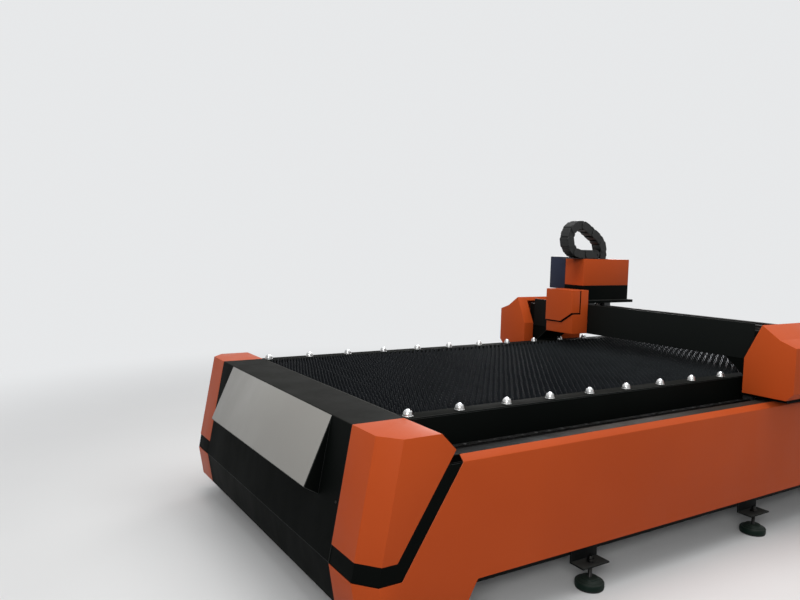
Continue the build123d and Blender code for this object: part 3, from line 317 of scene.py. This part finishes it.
aluminium = metal("plate_aluminium", (0.66, 0.67, 0.68), (0.54, 0.55, 0.56), (0.24, 0.4), (1.0, 1.0, 0.05))
brass = metal("nozzle_brass", (0.72, 0.49, 0.2), (0.55, 0.36, 0.15), (0.18, 0.32))
motor_black = plastic("motor_black", (0.012, 0.012, 0.0125), (0.028, 0.027, 0.026))
chain_plastic = plastic("chain_plastic", (0.011, 0.012, 0.0115), (0.022, 0.022, 0.0215), (0.4, 0.55),
                        specular=0.3)
rubber = plastic("rubber", (0.010, 0.010, 0.010), (0.024, 0.024, 0.023), (0.7, 0.85))


# Mesh helpers

# Degrees up to which faces beside a fold shade smoothly, and the width up to which a face is a cut edge
SMOOTH_FOLDS = 28
CUT_EDGE = 0.0045


def from_node(node):
    """A node's mesh with its corners joined and its flat faces whole."""
    shape = bmesh.new()
    shape.from_mesh(nodes[node].data)
    bmesh.ops.remove_doubles(shape, verts=shape.verts, dist=1e-5)
    bmesh.ops.dissolve_limit(shape, angle_limit=math.radians(0.6), verts=shape.verts, edges=shape.edges)
    return shape


def solids_of(node):
    """The boxes of a node's separate solids, as pairs of corners."""
    shape = from_node(node)
    waiting, boxes = set(shape.verts), []
    while waiting:
        reached = [waiting.pop()]
        island = list(reached)
        while reached:
            near = [e.other_vert(v) for v in reached for e in v.link_edges]
            reached = list({v for v in near if v in waiting})
            waiting.difference_update(reached)
            island += reached
        corners = [[side(v.co[axis] for v in island) for axis in range(3)] for side in (min, max)]
        boxes.append((Vector(corners[0]), Vector(corners[1])))
    shape.free()
    return sorted(boxes, key=lambda pair: tuple(pair[0]))


def piece(name, shape, materials, body, replaces=(), smooth=None):
    """Puts a finished mesh into the scene, on its body.

    Faces that meet at less than an angle in degrees shade smoothly into each other.
    """
    mesh = bpy.data.meshes.new(name)
    if smooth is not None:
        for face in shape.faces:
            face.smooth = True
        for edge in shape.edges:
            edge.smooth = len(edge.link_faces) == 2 and edge.calc_face_angle(0) < math.radians(smooth)
    shape.to_mesh(mesh)
    shape.free()
    for material in materials:
        mesh.materials.append(material)
    thing = bpy.data.objects.new(name, mesh)
    bpy.context.scene.collection.objects.link(thing)
    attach(thing, body)
    if replaces:
        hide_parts(*replaces)
    return thing


def narrow(face):
    """True for a face that is only as wide as a sheet is thick."""
    longest = max(edge.calc_length() for edge in face.edges)
    return face.calc_area() / longest < CUT_EDGE


def sharp(shape, degrees):
    """The edges between two faces that meet at more than an angle."""
    return [e for e in shape.edges if len(e.link_faces) == 2 and e.calc_face_angle(0) > math.radians(degrees)]


def bevel(shape, edges, width, segments, material=0):
    """Takes edges off, to a width on each side."""
    bmesh.ops.bevel(shape, geom=edges, offset=width, offset_type="OFFSET", segments=segments, profile=0.5,
                    affect="EDGES", clamp_overlap=True, material=material)


def folded(node, materials, fold, rim=0.0009):
    """A sheet-metal piece in the form of its node, with rounded folds.

    Its rims are eased and carry its second material.
    """
    shape = from_node(node)
    for face in shape.faces:
        face.material_index = int(narrow(face))
    at_rim = shape.edges.layers.int.new("rim")
    folds = []
    for edge in sharp(shape, 7):
        edge[at_rim] = any(narrow(face) for face in edge.link_faces)
        if not edge[at_rim]:
            folds.append(edge)
    bevel(shape, folds, fold, 3)
    if rim:
        bevel(shape, [edge for edge in sharp(shape, 30) if edge[at_rim]], rim, 1, material=1)
    return piece(f"{node}_dressed", shape, materials, nodes[node]["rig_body"], (node,), SMOOTH_FOLDS)


def eased(node, materials, width):
    """A solid piece in the form of its node, with every sharp edge eased."""
    shape = from_node(node)
    bevel(shape, sharp(shape, 20), width, 2, material=len(materials) - 1)
    return piece(f"{node}_dressed", shape, materials, nodes[node]["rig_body"], (node,), SMOOTH_FOLDS)


def paint(material, *parts):
    """Gives a material to nodes that stay as they are."""
    for part in parts:
        slots = nodes[part].data.materials
        slots.clear()
        slots.append(material)


def lathe(shape, profile, foot, sides, material=0, axis=(0.0, 0.0, 1.0)):
    """Turns a profile of (radius, height) points about an axis that starts at a foot point."""
    foot, along = Vector(foot), Vector(axis).normalized()
    across = Vector((1.0, 0.0, 0.0)) if abs(along.x) < 0.9 else Vector((0.0, 1.0, 0.0))
    across = (across - along * across.dot(along)).normalized()
    third = along.cross(across)
    rings = []
    for radius, height in profile:
        middle = foot + along * height
        if radius < 1e-6:
            rings.append([shape.verts.new(middle)])
            continue
        turns = [2 * math.pi * index / sides for index in range(sides)]
        rings.append([shape.verts.new(middle + across * radius * math.cos(t) + third * radius * math.sin(t))
                      for t in turns])
    for low, high in zip(rings, rings[1:]):
        for index in range(sides):
            if len(low) == 1:
                corners = [low[0], high[index], high[index - 1]]
            elif len(high) == 1:
                corners = [low[index - 1], low[index], high[0]]
            else:
                corners = [low[index - 1], low[index], high[index], high[index - 1]]
            shape.faces.new(corners).material_index = material


def screw_head(shape, place, axis, radius):
    """Button head with a hexagon socket, standing on a surface."""
    rise = radius * 0.62
    dome = [(0.0, -0.0002), (radius, -0.0002), (radius, rise * 0.3), (radius * 0.86, rise * 0.75),
            (radius * 0.6, rise), (radius * 0.45, rise)]
    socket = [(radius * 0.45, rise), (radius * 0.42, rise * 0.45), (0.0, rise * 0.45)]
    lathe(shape, dome, place, 20, axis=axis)
    lathe(shape, socket, place, 6, axis=axis)


def block(shape, low, high, material):
    """A box between two corners."""
    corners = [shape.verts.new((x, y, z)) for x in (low[0], high[0]) for y in (low[1], high[1])
               for z in (low[2], high[2])]
    for index in ((0, 1, 3, 2), (4, 6, 7, 5), (0, 4, 5, 1), (2, 3, 7, 6), (0, 2, 6, 4), (1, 5, 7, 3)):
        shape.faces.new([corners[i] for i in index]).material_index = material


def plate(shape, outline, x_low, x_high):
    """An outline of (y, z) points, between two places along X."""
    near = [shape.verts.new((x_low, y, z)) for y, z in outline]
    far = [shape.verts.new((x_high, y, z)) for y, z in outline]
    faces = [near, list(reversed(far))]
    faces += [[near[i - 1], far[i - 1], far[i], near[i]] for i in range(len(outline))]
    for corners in faces:
        shape.faces.new(corners)


def set_right(shape):
    """Turns every face outwards."""
    bmesh.ops.recalc_face_normals(shape, faces=shape.faces)
    return shape


# Bed: covers, skirts and decks

for corner in ("front_corner_cover_right", "front_corner_cover_left", "rear_corner_cover_right",
               "rear_corner_cover_left"):
    folded(corner, (orange, orange_edge), fold=0.006)
for skirt in ("skirt_right", "skirt_left"):
    folded(skirt, (orange, orange_edge), fold=0.005)
for cover in ("front_hood", "rear_hood", "front_kick_panel", "rear_kick_panel"):
    folded(cover, (black, black_edge), fold=0.004)
folded("corner_liners", (black, black_edge), fold=0.003, rim=0)
folded("ledge_strips", (gloss_strip, black_edge), fold=0.0015)
eased("rear_deck", (black, black_edge), 0.0012)
eased("ball_strips", (strip_black, black_edge), 0.0012)
eased("table_sides", (black, black_edge), 0.0012)
eased("foot_brackets", (frame_black, black_edge), 0.0012)
for part in ("side_beams", "lower_frame", "cross_members"):
    eased(part, (frame_black, frame_black), 0.004)
paint(frame_black, "slat_supports")
paint(tray_steel, "scrap_trays")
paint(oiled_steel, "bed_rails")


def console_panel():
    """Console panel: a black folded wedge with a grey face plate laid on it."""
    shape = from_node("front_panel")
    for face in shape.faces:
        # The face plate looks forward and leans back
        if face.normal.y < -0.7 and face.normal.z > 0.05:
            face.material_index = 2
    bevel(shape, sharp(shape, 0), 0.003, 2, material=1)
    return piece("front_panel_dressed", shape, (black, black_edge, panel_grey), "bed",
                 ("front_panel",), smooth=SMOOTH_FOLDS)


console_panel()

HOOD_SCREW_X = 0.778
HOOD_SCREW_LOW, HOOD_SCREW_HIGH = 0.53, 0.76
DECK_SCREW_INSET = 0.02
DECK_SCREW_START = 0.06
DECK_SCREW_STEP = 0.155
BOX_SCREW_INSET = 0.012


def screws(name, node, places, towards, radius):
    """Button-head screws where lines from the given places meet a node's surface."""
    surface = from_node(node)
    tree = BVHTree.FromBMesh(surface)
    surface.free()
    shape = bmesh.new()
    for place in places:
        point, normal = tree.ray_cast(Vector(place), Vector(towards))[:2]
        if point:
            screw_head(shape, point, normal if normal.dot(Vector(towards)) < 0 else -normal, radius)
    return piece(name, set_right(shape), (black_oxide,), nodes[node]["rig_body"], smooth=35)


def cover_screws():
    """The screws of the two hoods, the rear deck and the junction box."""
    for hood, side, heights in (("front_hood", -1, (HOOD_SCREW_LOW,)),
                                ("rear_hood", 1, (HOOD_SCREW_LOW, HOOD_SCREW_HIGH))):
        places = [(x, 4.0 * side, z) for x in (-HOOD_SCREW_X, HOOD_SCREW_X) for z in heights]
        screws(f"{hood}_screws", hood, places, (0, -side, 0), 0.006)
    low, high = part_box("rear_deck")
    rows = [low.y + DECK_SCREW_START + DECK_SCREW_STEP * row for row in range(6)]
    places = [(x, y, 2.0) for x in (low.x + DECK_SCREW_INSET, high.x - DECK_SCREW_INSET)
              for y in rows if y < high.y - 1.5 * DECK_SCREW_INSET]
    screws("rear_deck_screws", "rear_deck", places, (0, 0, -1), 0.005)
    low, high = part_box("junction_box")
    places = [(x, -3.0, z) for x in (low.x + BOX_SCREW_INSET, high.x - BOX_SCREW_INSET)
              for z in (low.z + BOX_SCREW_INSET, high.z - BOX_SCREW_INSET)]
    screws("junction_box_screws", "junction_box", places, (0, 1, 0), 0.003)


cover_screws()


# Bed: slats, ball transfers and feet

SLAT_COUNT = 88
SLAT_THICKNESS = 0.0035
SLAT_TEETH = 35
TOOTH_HEIGHT = 0.026
TOOTH_TIP = 0.0035
TOOTH_ROOT = 0.007
# Room at each end of a slat, and how far the field runs on past its node's outermost slats
SLAT_END_ROOM = 0.003
FIELD_MARGIN = 0.044
# How far a slat can stand low, off its place, out of upright (as a slope) and along its comb
SLAT_LOW = 0.0012
SLAT_STRAY = 0.0018
SLAT_LEAN = 0.014
SLAT_SHIFT = 0.002
BALL_RADIUS = 0.0142
THREAD_PITCH = 0.004
NUT_HEIGHT = 0.0159
BRACKET_SHEET = 0.008


def slat_outline(half, tip, root):
    """Top line of a saw-tooth slat, from left to right, as (x, z) points."""
    pitch = 2 * half / SLAT_TEETH
    points = [(-half, root)]
    for index in range(SLAT_TEETH):
        middle = -half + pitch * (index + 0.5)
        points += [(middle - pitch / 2 + TOOTH_ROOT / 2, root), (middle - TOOTH_TIP / 2, tip),
                   (middle + TOOTH_TIP / 2, tip), (middle + pitch / 2 - TOOTH_ROOT / 2, root)]
    return points + [(half, root)]


def slat(shape, y, low, outline, lean, shift, cut):
    """One slat. Its faces carry the first material, its low edge the second, and its top edge its own."""
    columns = []
    for x, z in outline:
        corners = [(y + side * SLAT_THICKNESS / 2 + lean * (height - low), height)
                   for side in (-1, 1) for height in (low, z)]
        columns.append([shape.verts.new((x + shift, *corner)) for corner in corners])
    for first, second in zip(columns, columns[1:]):
        near_low, near_top, far_low, far_top = zip(first, second)
        shape.faces.new((near_low[0], near_low[1], near_top[1], near_top[0])).material_index = 0
        shape.faces.new((far_low[1], far_low[0], far_top[0], far_top[1])).material_index = 0
        shape.faces.new((near_top[0], near_top[1], far_top[1], far_top[0])).material_index = cut
        shape.faces.new((near_low[1], near_low[0], far_low[0], far_low[1])).material_index = 1
    for column, turned in ((columns[0], False), (columns[-1], True)):
        corners = [column[0], column[1], column[3], column[2]]
        shape.faces.new(list(reversed(corners)) if turned else corners).material_index = 1


def slat_field():
    """The bed of saw-tooth slats, each set in by hand, so none stands quite true.

    Every second slat is newer, with a clean top edge, and its tooth tips at the rear carry the strongest
    painted highlight.
    """
    chance = random.Random(7)
    low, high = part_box("slats")
    front, rear = low.y - FIELD_MARGIN, high.y + FIELD_MARGIN
    step = (rear - front) / SLAT_COUNT
    shape = bmesh.new()
    for index in range(SLAT_COUNT):
        tip, root = high.z - chance.uniform(0, SLAT_LOW), high.z - TOOTH_HEIGHT
        y = front + step * (index + 0.5) + chance.uniform(-SLAT_STRAY, SLAT_STRAY)
        lean, shift = chance.uniform(-SLAT_LEAN, SLAT_LEAN), chance.uniform(-SLAT_SHIFT, SLAT_SHIFT)
        slat(shape, y, low.z, slat_outline(high.x - SLAT_END_ROOM, tip, root), lean, shift, 1 + index % 2)
    return piece("slat_field", shape, (slat_face, slat_cut, slat_clean_backlit), "bed", ("slats",))


def ball_units():
    """Ball transfers: a pressed cup with a wide flange, and a chromed ball held in its lip."""
    cups, balls = bmesh.new(), bmesh.new()
    for low, high in solids_of("ball_transfers"):
        foot = ((low.x + high.x) / 2, (low.y + high.y) / 2, low.z)
        cup = [(0.0, 0.0002), (0.0228, 0.0002), (0.0234, 0.001), (0.0234, 0.0026), (0.0226, 0.0036)]
        cup += [(0.0212 * math.sqrt(1 - ((h - 0.004) / 0.027) ** 2), h)
                for h in (0.004 + 0.0172 * step / 8 for step in range(9))]
        cup += [(0.0152, 0.0222), (0.0142, 0.0224), (0.0138, 0.0216), (0.0, 0.0212)]
        lathe(cups, cup, foot, 36)
        middle = high.z - low.z - BALL_RADIUS
        dome = [(BALL_RADIUS * math.cos(a), middle + BALL_RADIUS * math.sin(a))
                for a in (math.radians(90 * step / 12) for step in range(12))]
        lathe(balls, dome + [(0.0, middle + BALL_RADIUS)], foot, 36)
    piece("ball_cups", set_right(cups), (zinc,), "bed", ("ball_transfers",), smooth=40)
    piece("transfer_balls", set_right(balls), (chrome,), "bed", smooth=60)


def levelling_feet():
    """Round cast pads on a rubber sole, each with its threaded stud and two nuts on the bracket."""
    shape = bmesh.new()
    floor_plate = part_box("foot_brackets")[0].z
    for low, high in solids_of("levelling_feet"):
        foot = ((low.x + high.x) / 2, (low.y + high.y) / 2, 0.0)
        sole = [(0.0, 0.0), (0.0635, 0.0), (0.065, 0.0015), (0.065, 0.007), (0.0, 0.007)]
        lathe(shape, sole, foot, 48, 1)
        pad = [(0.0, 0.007), (0.0665, 0.007), (0.067, 0.009), (0.067, 0.027), (0.0664, 0.0305),
               (0.0645, 0.033), (0.060, 0.0352), (0.0585, 0.0345), (0.056, 0.0348), (0.054, 0.0372),
               (0.047, 0.0425), (0.0405, 0.0455), (0.039, 0.049), (0.037, 0.050), (0.0, 0.050)]
        lathe(shape, pad, foot, 64, 0)
        thread = [(0.0, 0.0495)]
        for turn in range(int((high.z - 0.051) / THREAD_PITCH)):
            crest = 0.0505 + turn * THREAD_PITCH
            thread += [(0.0098, crest), (0.0086, crest + THREAD_PITCH / 2)]
        lathe(shape, thread + [(0.0088, high.z - 0.001), (0.0, high.z)], foot, 20, 2)
        nut = [(0.0, 0.0), (0.0155, 0.0), (0.0176, 0.0017), (0.0176, NUT_HEIGHT - 0.0017),
               (0.0155, NUT_HEIGHT), (0.0, NUT_HEIGHT)]
        for bottom in (floor_plate - NUT_HEIGHT - 0.0002, floor_plate + BRACKET_SHEET + 0.0001):
            lathe(shape, [(radius, bottom + height) for radius, height in nut], foot, 6, 2)
    return piece("levelling_feet_dressed", set_right(shape), (foot_green, rubber, black_oxide), "bed",
                 ("levelling_feet",), smooth=32)


slat_field()
ball_units()
levelling_feet()


# Gantry

for cover in ("end_cover_right", "end_cover_left"):
    folded(cover, (orange, orange_edge), fold=0.007)
folded("beam_cover", (beam_black, beam_black), fold=0.002)
eased("beam", (black, black_edge), 0.006)
eased("risers", (black, black_edge), 0.002)
eased("foot_plates", (black, black_edge), 0.0015)
paint(rail_steel, "beam_rails")
paint(motor_black, "gantry_drives")
paint(cut_steel, "gantry_pinion_right", "gantry_pinion_left", "carriage_pinion")

RACK_PITCH = 0.00785
RACK_DEPTH = 0.0038
# One tooth's outline: how far along the pitch, and how deep as a share of the depth
RACK_TOOTH = ((0.0, 1.0), (0.14, 1.0), (0.36, 0.0), (0.64, 0.0), (0.86, 1.0))
BLOCK_CAP = 0.010
RAIL_SCREW_PITCH = 0.08
RAIL_END_ROOM = 0.04


def racks(node, along):
    """Racks in the form of their bars, with teeth cut into the side that the pinion runs on."""
    shape = bmesh.new()
    across = 1 - along
    for low, high in solids_of(node):
        inner = along == 1 and low.x + high.x > 0
        face, back, inward = (low[across], high[across], 1) if inner else (high[across], low[across], -1)
        count = round((high[along] - low[along]) / RACK_PITCH)
        pitch = (high[along] - low[along]) / count
        columns = []
        for index in range(count):
            start = low[along] + index * pitch
            columns += [(start + share * pitch, face + inward * depth * RACK_DEPTH)
                        for share, depth in RACK_TOOTH]
        columns.append((high[along], face + inward * RACK_DEPTH))
        rows = []
        for place, edge in columns:
            corners = ((place, edge, low.z), (place, edge, high.z), (place, back, high.z),
                       (place, back, low.z))
            rows.append([shape.verts.new((x, y, z) if along == 0 else (y, x, z)) for x, y, z in corners])
        for first, second in zip(rows, rows[1:]):
            for side in range(4):
                shape.faces.new((first[side - 1], first[side], second[side], second[side - 1]))
        shape.faces.new(rows[0])
        shape.faces.new(rows[-1])
    piece(f"{node}_dressed", set_right(shape), (cut_steel,), nodes[node]["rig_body"], (node,))


def blocks(node, along):
    """Bearing blocks: a ground body between two dark end caps with their seals."""
    shape = from_node(node)
    ends = {round(side[along], 5) for pair in solids_of(node) for side in pair}
    cuts = {end + step for end in ends for step in (-BLOCK_CAP, BLOCK_CAP)}
    normal = [float(axis == along) for axis in range(3)]
    for place in sorted(cuts):
        bmesh.ops.bisect_plane(shape, geom=[*shape.verts, *shape.edges, *shape.faces],
                               plane_co=[place * part for part in normal], plane_no=normal)
    for face in shape.faces:
        middle = face.calc_center_median()[along]
        face.material_index = int(min(abs(middle - end) for end in ends) < BLOCK_CAP * 0.9)
    return piece(f"{node}_dressed", shape, (ground_steel, motor_black), nodes[node]["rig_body"],
                 (node,))


racks("bed_racks", 1)
racks("beam_rack", 0)
blocks("gantry_blocks", 1)
blocks("carriage_blocks", 0)


def rail_caps():
    """Caps over the screws of a rail, a shade darker than its ground top."""
    bed, gantry = bmesh.new(), bmesh.new()
    cap = [(0.0072, -0.0002), (0.0072, 0.00025), (0.0062, 0.00025), (0.0060, 0.0001), (0.0, 0.0001)]
    for node, shape, axis in (("bed_rails", bed, 1), ("beam_rails", gantry, 0)):
        for low, high in solids_of(node):
            count = int((high[axis] - low[axis] - RAIL_END_ROOM) / RAIL_SCREW_PITCH)
            for index in range(count + 1):
                foot = (low + high) / 2
                foot[axis] += (index - count / 2) * RAIL_SCREW_PITCH
                foot.z = high.z
                lathe(shape, cap, foot, 16)
    piece("bed_rail_caps", set_right(bed), (motor_black,), "bed", smooth=30)
    piece("beam_rail_caps", set_right(gantry), (motor_black,), "gantry", smooth=30)


rail_caps()


# Carriage and head

for cover in ("top_box", "carriage_side_cover", "carriage_hood"):
    folded(cover, (orange, orange_edge), fold=0.0035)
folded("saddle_housing", (black, black_edge), fold=0.0035)
folded("carriage_liner", (black, black_edge), fold=0.002, rim=0)
eased("junction_box", (junction_blue, black_edge), 0.0025)
eased("saddle", (black, black_edge), 0.0015)
paint(aluminium, "front_plate", "slide_carriage", "head_body", "head_tube")
paint(motor_black, "carriage_drive", "z_motor", "screw_bearings", "collimator")
paint(ground_steel, "z_rails", "lift_screw")
paint(brass, "nozzle")

CHAIN_LINKS = 15
CHAIN_HALF_WIDTH = 0.0425
CHAIN_HALF_HEIGHT = 0.031
CHAIN_BEND = 0.106
CHAIN_DIVE = math.radians(30.3)
CHAIN_BRACKET = 0.003
# Places along Y: the loop's foremost and rearmost points, and the end of its lower run
CHAIN_FRONT, CHAIN_REAR, CHAIN_TAIL = 0.239, 0.646, 0.560
# A link: its side plates' thickness, how far every second link's stand in, the room for both, and its pins
LINK_SHEET = 0.005
LINK_INSET = 0.0052
LINK_SIDE = 0.0095
LINK_PIN = 0.009
# Half outlines of a link's bars, lips and tongue: along the link as a share of its half length, and out from
# its middle line in metres
LINK_BAR = ((-1, 0.0245), (1, 0.0245), (1, 0.0275), (0.9, 0.030), (-0.9, 0.030), (-1, 0.0275))
LINK_LIP = ((-0.40, 0.0235), (0.40, 0.0235), (0.34, 0.0309), (-0.34, 0.0309))
LINK_TONGUE = ((0.8, 0.0210), (1.36, 0.0205), (1.40, 0.0222), (1.34, 0.0240), (0.8, 0.0243))


def chain_joints():
    """The joints along the chain's middle line, as (y, z) points, from its tail round to its other end."""
    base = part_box("top_box")[1].z + CHAIN_BRACKET
    arc_y, arc_z = CHAIN_FRONT + CHAIN_HALF_HEIGHT + CHAIN_BEND, base + CHAIN_HALF_HEIGHT + CHAIN_BEND
    leave_y = arc_y + CHAIN_BEND * math.sin(CHAIN_DIVE)
    leave_z = arc_z + CHAIN_BEND * math.cos(CHAIN_DIVE)
    rear = CHAIN_REAR - CHAIN_HALF_HEIGHT
    tangent = CHAIN_BEND * math.tan((math.pi / 2 - CHAIN_DIVE) / 2)
    corner_z = leave_z - (rear - leave_y) * math.tan(CHAIN_DIVE)
    runs = [(CHAIN_TAIL - arc_y, 0.0), (CHAIN_BEND * (math.pi + CHAIN_DIVE), -(math.pi + CHAIN_DIVE)),
            ((rear - leave_y) / math.cos(CHAIN_DIVE) - tangent, 0.0),
            (CHAIN_BEND * (math.pi / 2 - CHAIN_DIVE), -(math.pi / 2 - CHAIN_DIVE)),
            (corner_z - tangent - base - 0.0003, 0.0)]
    total = sum(run[0] for run in runs)
    return [chain_point(runs, total * index / CHAIN_LINKS, base) for index in range(CHAIN_LINKS + 1)]


def chain_point(runs, distance, base):
    """The point at a distance along the runs."""
    y, z, heading = CHAIN_TAIL, base + CHAIN_HALF_HEIGHT, math.pi
    for length, turn in runs:
        step = min(distance, length)
        if turn == 0:
            y, z = y + step * math.cos(heading), z + step * math.sin(heading)
        else:
            radius, swept = length / -turn, turn * step / length
            y += radius * (math.sin(heading) - math.sin(heading + swept))
            z += radius * (math.cos(heading + swept) - math.cos(heading))
            heading += swept
        distance -= step
        if distance <= 1e-9:
            break
    return y, z


def chain_link(shape, start, end, x_low, x_high, inset, tongued):
    """One link: two side plates, an inner and an outer bar with their lips, and a tongue on the outer bar."""
    (y0, z0), (y1, z1) = start, end
    turn, half = math.atan2(z1 - z0, y1 - y0), math.hypot(y1 - y0, z1 - z0) / 2

    def placed(a, b):
        return ((y0 + y1) / 2 + a * math.cos(turn) - b * math.sin(turn),
                (z0 + z1) / 2 + a * math.sin(turn) + b * math.cos(turn))

    reach = CHAIN_HALF_HEIGHT * 0.80
    middle = half - 0.006
    arc = [(reach * math.cos(a) * 0.8, reach * math.sin(a) * 1.2)
           for a in (math.radians(-90 + 180 * step / 8) for step in range(9))]
    outline = [placed(middle + a, b) for a, b in arc] + [placed(-middle - a, -b) for a, b in arc]
    plate(shape, outline, x_low + inset, x_low + inset + LINK_SHEET)
    plate(shape, outline, x_high - inset - LINK_SHEET, x_high - inset)
    for side, width in ((-1, 0.66), (1, 0.99)):
        bar = [placed(a * half * width, side * b) for a, b in LINK_BAR]
        plate(shape, bar, x_low + LINK_SIDE, x_high - LINK_SIDE)
        lip = [placed(half * a, side * b) for a, b in LINK_LIP]
        plate(shape, lip, x_low + 0.002, x_high - 0.002)
    if tongued:
        tongue = [placed(half * a, b) for a, b in LINK_TONGUE]
        plate(shape, tongue, x_low + LINK_SIDE + 0.001, x_high - LINK_SIDE - 0.001)


def chain():
    """Drag chain: links with overlapping side plates, round pins and snap-in bars.

    Each outer bar reaches under the next one with a tongue, so the chain stays closed where it bends.
    """
    low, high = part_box("drag_chain")
    joints = chain_joints()
    middle = (low.x + high.x) / 2
    x_low, x_high = middle - CHAIN_HALF_WIDTH, middle + CHAIN_HALF_WIDTH
    shape = bmesh.new()
    for index, (start, end) in enumerate(zip(joints, joints[1:])):
        inset = 0.0 if index % 2 else LINK_INSET
        chain_link(shape, start, end, x_low, x_high, inset, index < CHAIN_LINKS - 1)
    for y, z in joints[:-1]:
        pin = [(y + LINK_PIN * math.cos(a), z + LINK_PIN * math.sin(a))
               for a in (2 * math.pi * step / 20 for step in range(20))]
        plate(shape, pin, x_low - 0.0008, x_low + LINK_SIDE)
        plate(shape, pin, x_high - LINK_SIDE, x_high + 0.0008)
    bracket_top = joints[0][1] - CHAIN_HALF_HEIGHT
    block(shape, (low.x, low.y + 0.012, bracket_top - CHAIN_BRACKET), (high.x, high.y, bracket_top), 1)
    set_right(shape)
    bevel(shape, sharp(shape, 50), 0.0008, 1)
    return piece("drag_chain_dressed", shape, (chain_plastic, black), "carriage",
                 ("drag_chain",), smooth=35)


chain()


# Stage, light and camera

PALE = (0.80, 0.81, 0.82, 1.0)


def seen_directly(tree):
    """1 for rays from the lens, a mirror or a clear body, and 0 for light that falls on the machine."""
    rays = tree.nodes.new("ShaderNodeLightPath")
    total = None
    for name in ("Is Camera Ray", "Is Glossy Ray", "Is Transmission Ray"):
        if total is None:
            total = rays.outputs[name]
            continue
        add = tree.nodes.new("ShaderNodeMath")
        add.operation = "MAXIMUM"
        tree.links.new(total, add.inputs[0])
        tree.links.new(rays.outputs[name], add.inputs[1])
        total = add.outputs[0]
    return total


def floor():
    """A plain pale floor. Far from the machine it turns into the backdrop's own pale colour."""
    shape = bmesh.new()
    corners = [shape.verts.new((x, y, 0.0)) for x, y in ((-60, -60), (60, -60), (60, 60), (-60, 60))]
    shape.faces.new(corners)
    mesh = bpy.data.meshes.new("floor")
    shape.to_mesh(mesh)
    shape.free()
    shader = Shader("floor_paint", (0.5, 0.5, 0.5), 0.6, specular=0.2)
    shader.roughness(shader.ramp(shader.noise(1.5, 3.0), 0.3, 0.7, 0.55, 0.68))
    seen = seen_directly(shader.tree)
    laid = shader.mix(shader.noise(0.6, 3.0), (0.72, 0.72, 0.715), (0.76, 0.76, 0.755))
    shader.colour(shader.mix(seen, (0.36, 0.36, 0.355), laid))
    length = shader.tree.nodes.new("ShaderNodeVectorMath")
    length.operation = "LENGTH"
    shader.link(shader.place, length.inputs[0])
    far = shader.ramp(length.outputs["Value"], 2.9, 6.5)
    glow = shader.tree.nodes.new("ShaderNodeEmission")
    glow.inputs["Color"].default_value = PALE
    blend = shader.tree.nodes.new("ShaderNodeMixShader")
    shader.link(shader.times(far, seen), blend.inputs["Fac"])
    shader.link(shader.surface.outputs["BSDF"], blend.inputs[1])
    shader.link(glow.outputs["Emission"], blend.inputs[2])
    shader.link(blend.outputs["Shader"], shader.tree.nodes["Material Output"].inputs["Surface"])
    mesh.materials.append(shader.material)
    thing = bpy.data.objects.new("floor", mesh)
    bpy.context.scene.collection.objects.link(thing)


def soft_box(name, place, aim, width, height, power):
    """A large rectangular lamp, aimed at a point."""
    lamp = bpy.data.lights.new(name, "AREA")
    lamp.shape, lamp.size, lamp.size_y, lamp.energy = "RECTANGLE", width, height, power
    thing = bpy.data.objects.new(name, lamp)
    thing.location = place
    thing.rotation_euler = (Vector(aim) - Vector(place)).to_track_quat("-Z", "Y").to_euler()
    bpy.context.scene.collection.objects.link(thing)


def surroundings():
    """An even, soft world that shows as a pale backdrop."""
    world = bpy.data.worlds.new("studio")
    world.use_nodes = True
    tree = world.node_tree
    light = tree.nodes["Background"]
    light.inputs["Color"].default_value = (0.95, 0.97, 1.0, 1.0)
    light.inputs["Strength"].default_value = 0.30
    backdrop = tree.nodes.new("ShaderNodeBackground")
    backdrop.inputs["Color"].default_value = PALE
    backdrop.inputs["Strength"].default_value = 1.0
    blend = tree.nodes.new("ShaderNodeMixShader")
    tree.links.new(seen_directly(tree), blend.inputs["Fac"])
    tree.links.new(light.outputs["Background"], blend.inputs[1])
    tree.links.new(backdrop.outputs["Background"], blend.inputs[2])
    tree.links.new(blend.outputs["Shader"], tree.nodes["World Output"].inputs["Surface"])
    bpy.context.scene.world = world


def camera():
    """The camera, which looks over the front right corner."""
    lens = bpy.data.cameras.new("camera")
    lens.lens = CAMERA_LENS
    thing = bpy.data.objects.new("camera", lens)
    thing.location = CAMERA_PLACE
    thing.rotation_euler = [math.radians(turn) for turn in CAMERA_TURN]
    bpy.context.scene.collection.objects.link(thing)
    bpy.context.scene.camera = thing


floor()
surroundings()
soft_box("overhead", (0.5, -0.5, 5.2), (0.0, -0.2, 0.6), 6.0, 4.0, 240)
soft_box("key", (5.0, -5.3, 3.4), (0.6, -1.0, 0.5), 3.0, 2.2, 205)
soft_box("window", (-4.5, 4.0, 3.2), (0.0, 0.4, 0.9), 3.0, 2.2, 120)
camera()
bpy.context.scene.view_settings.view_transform = "Standard"
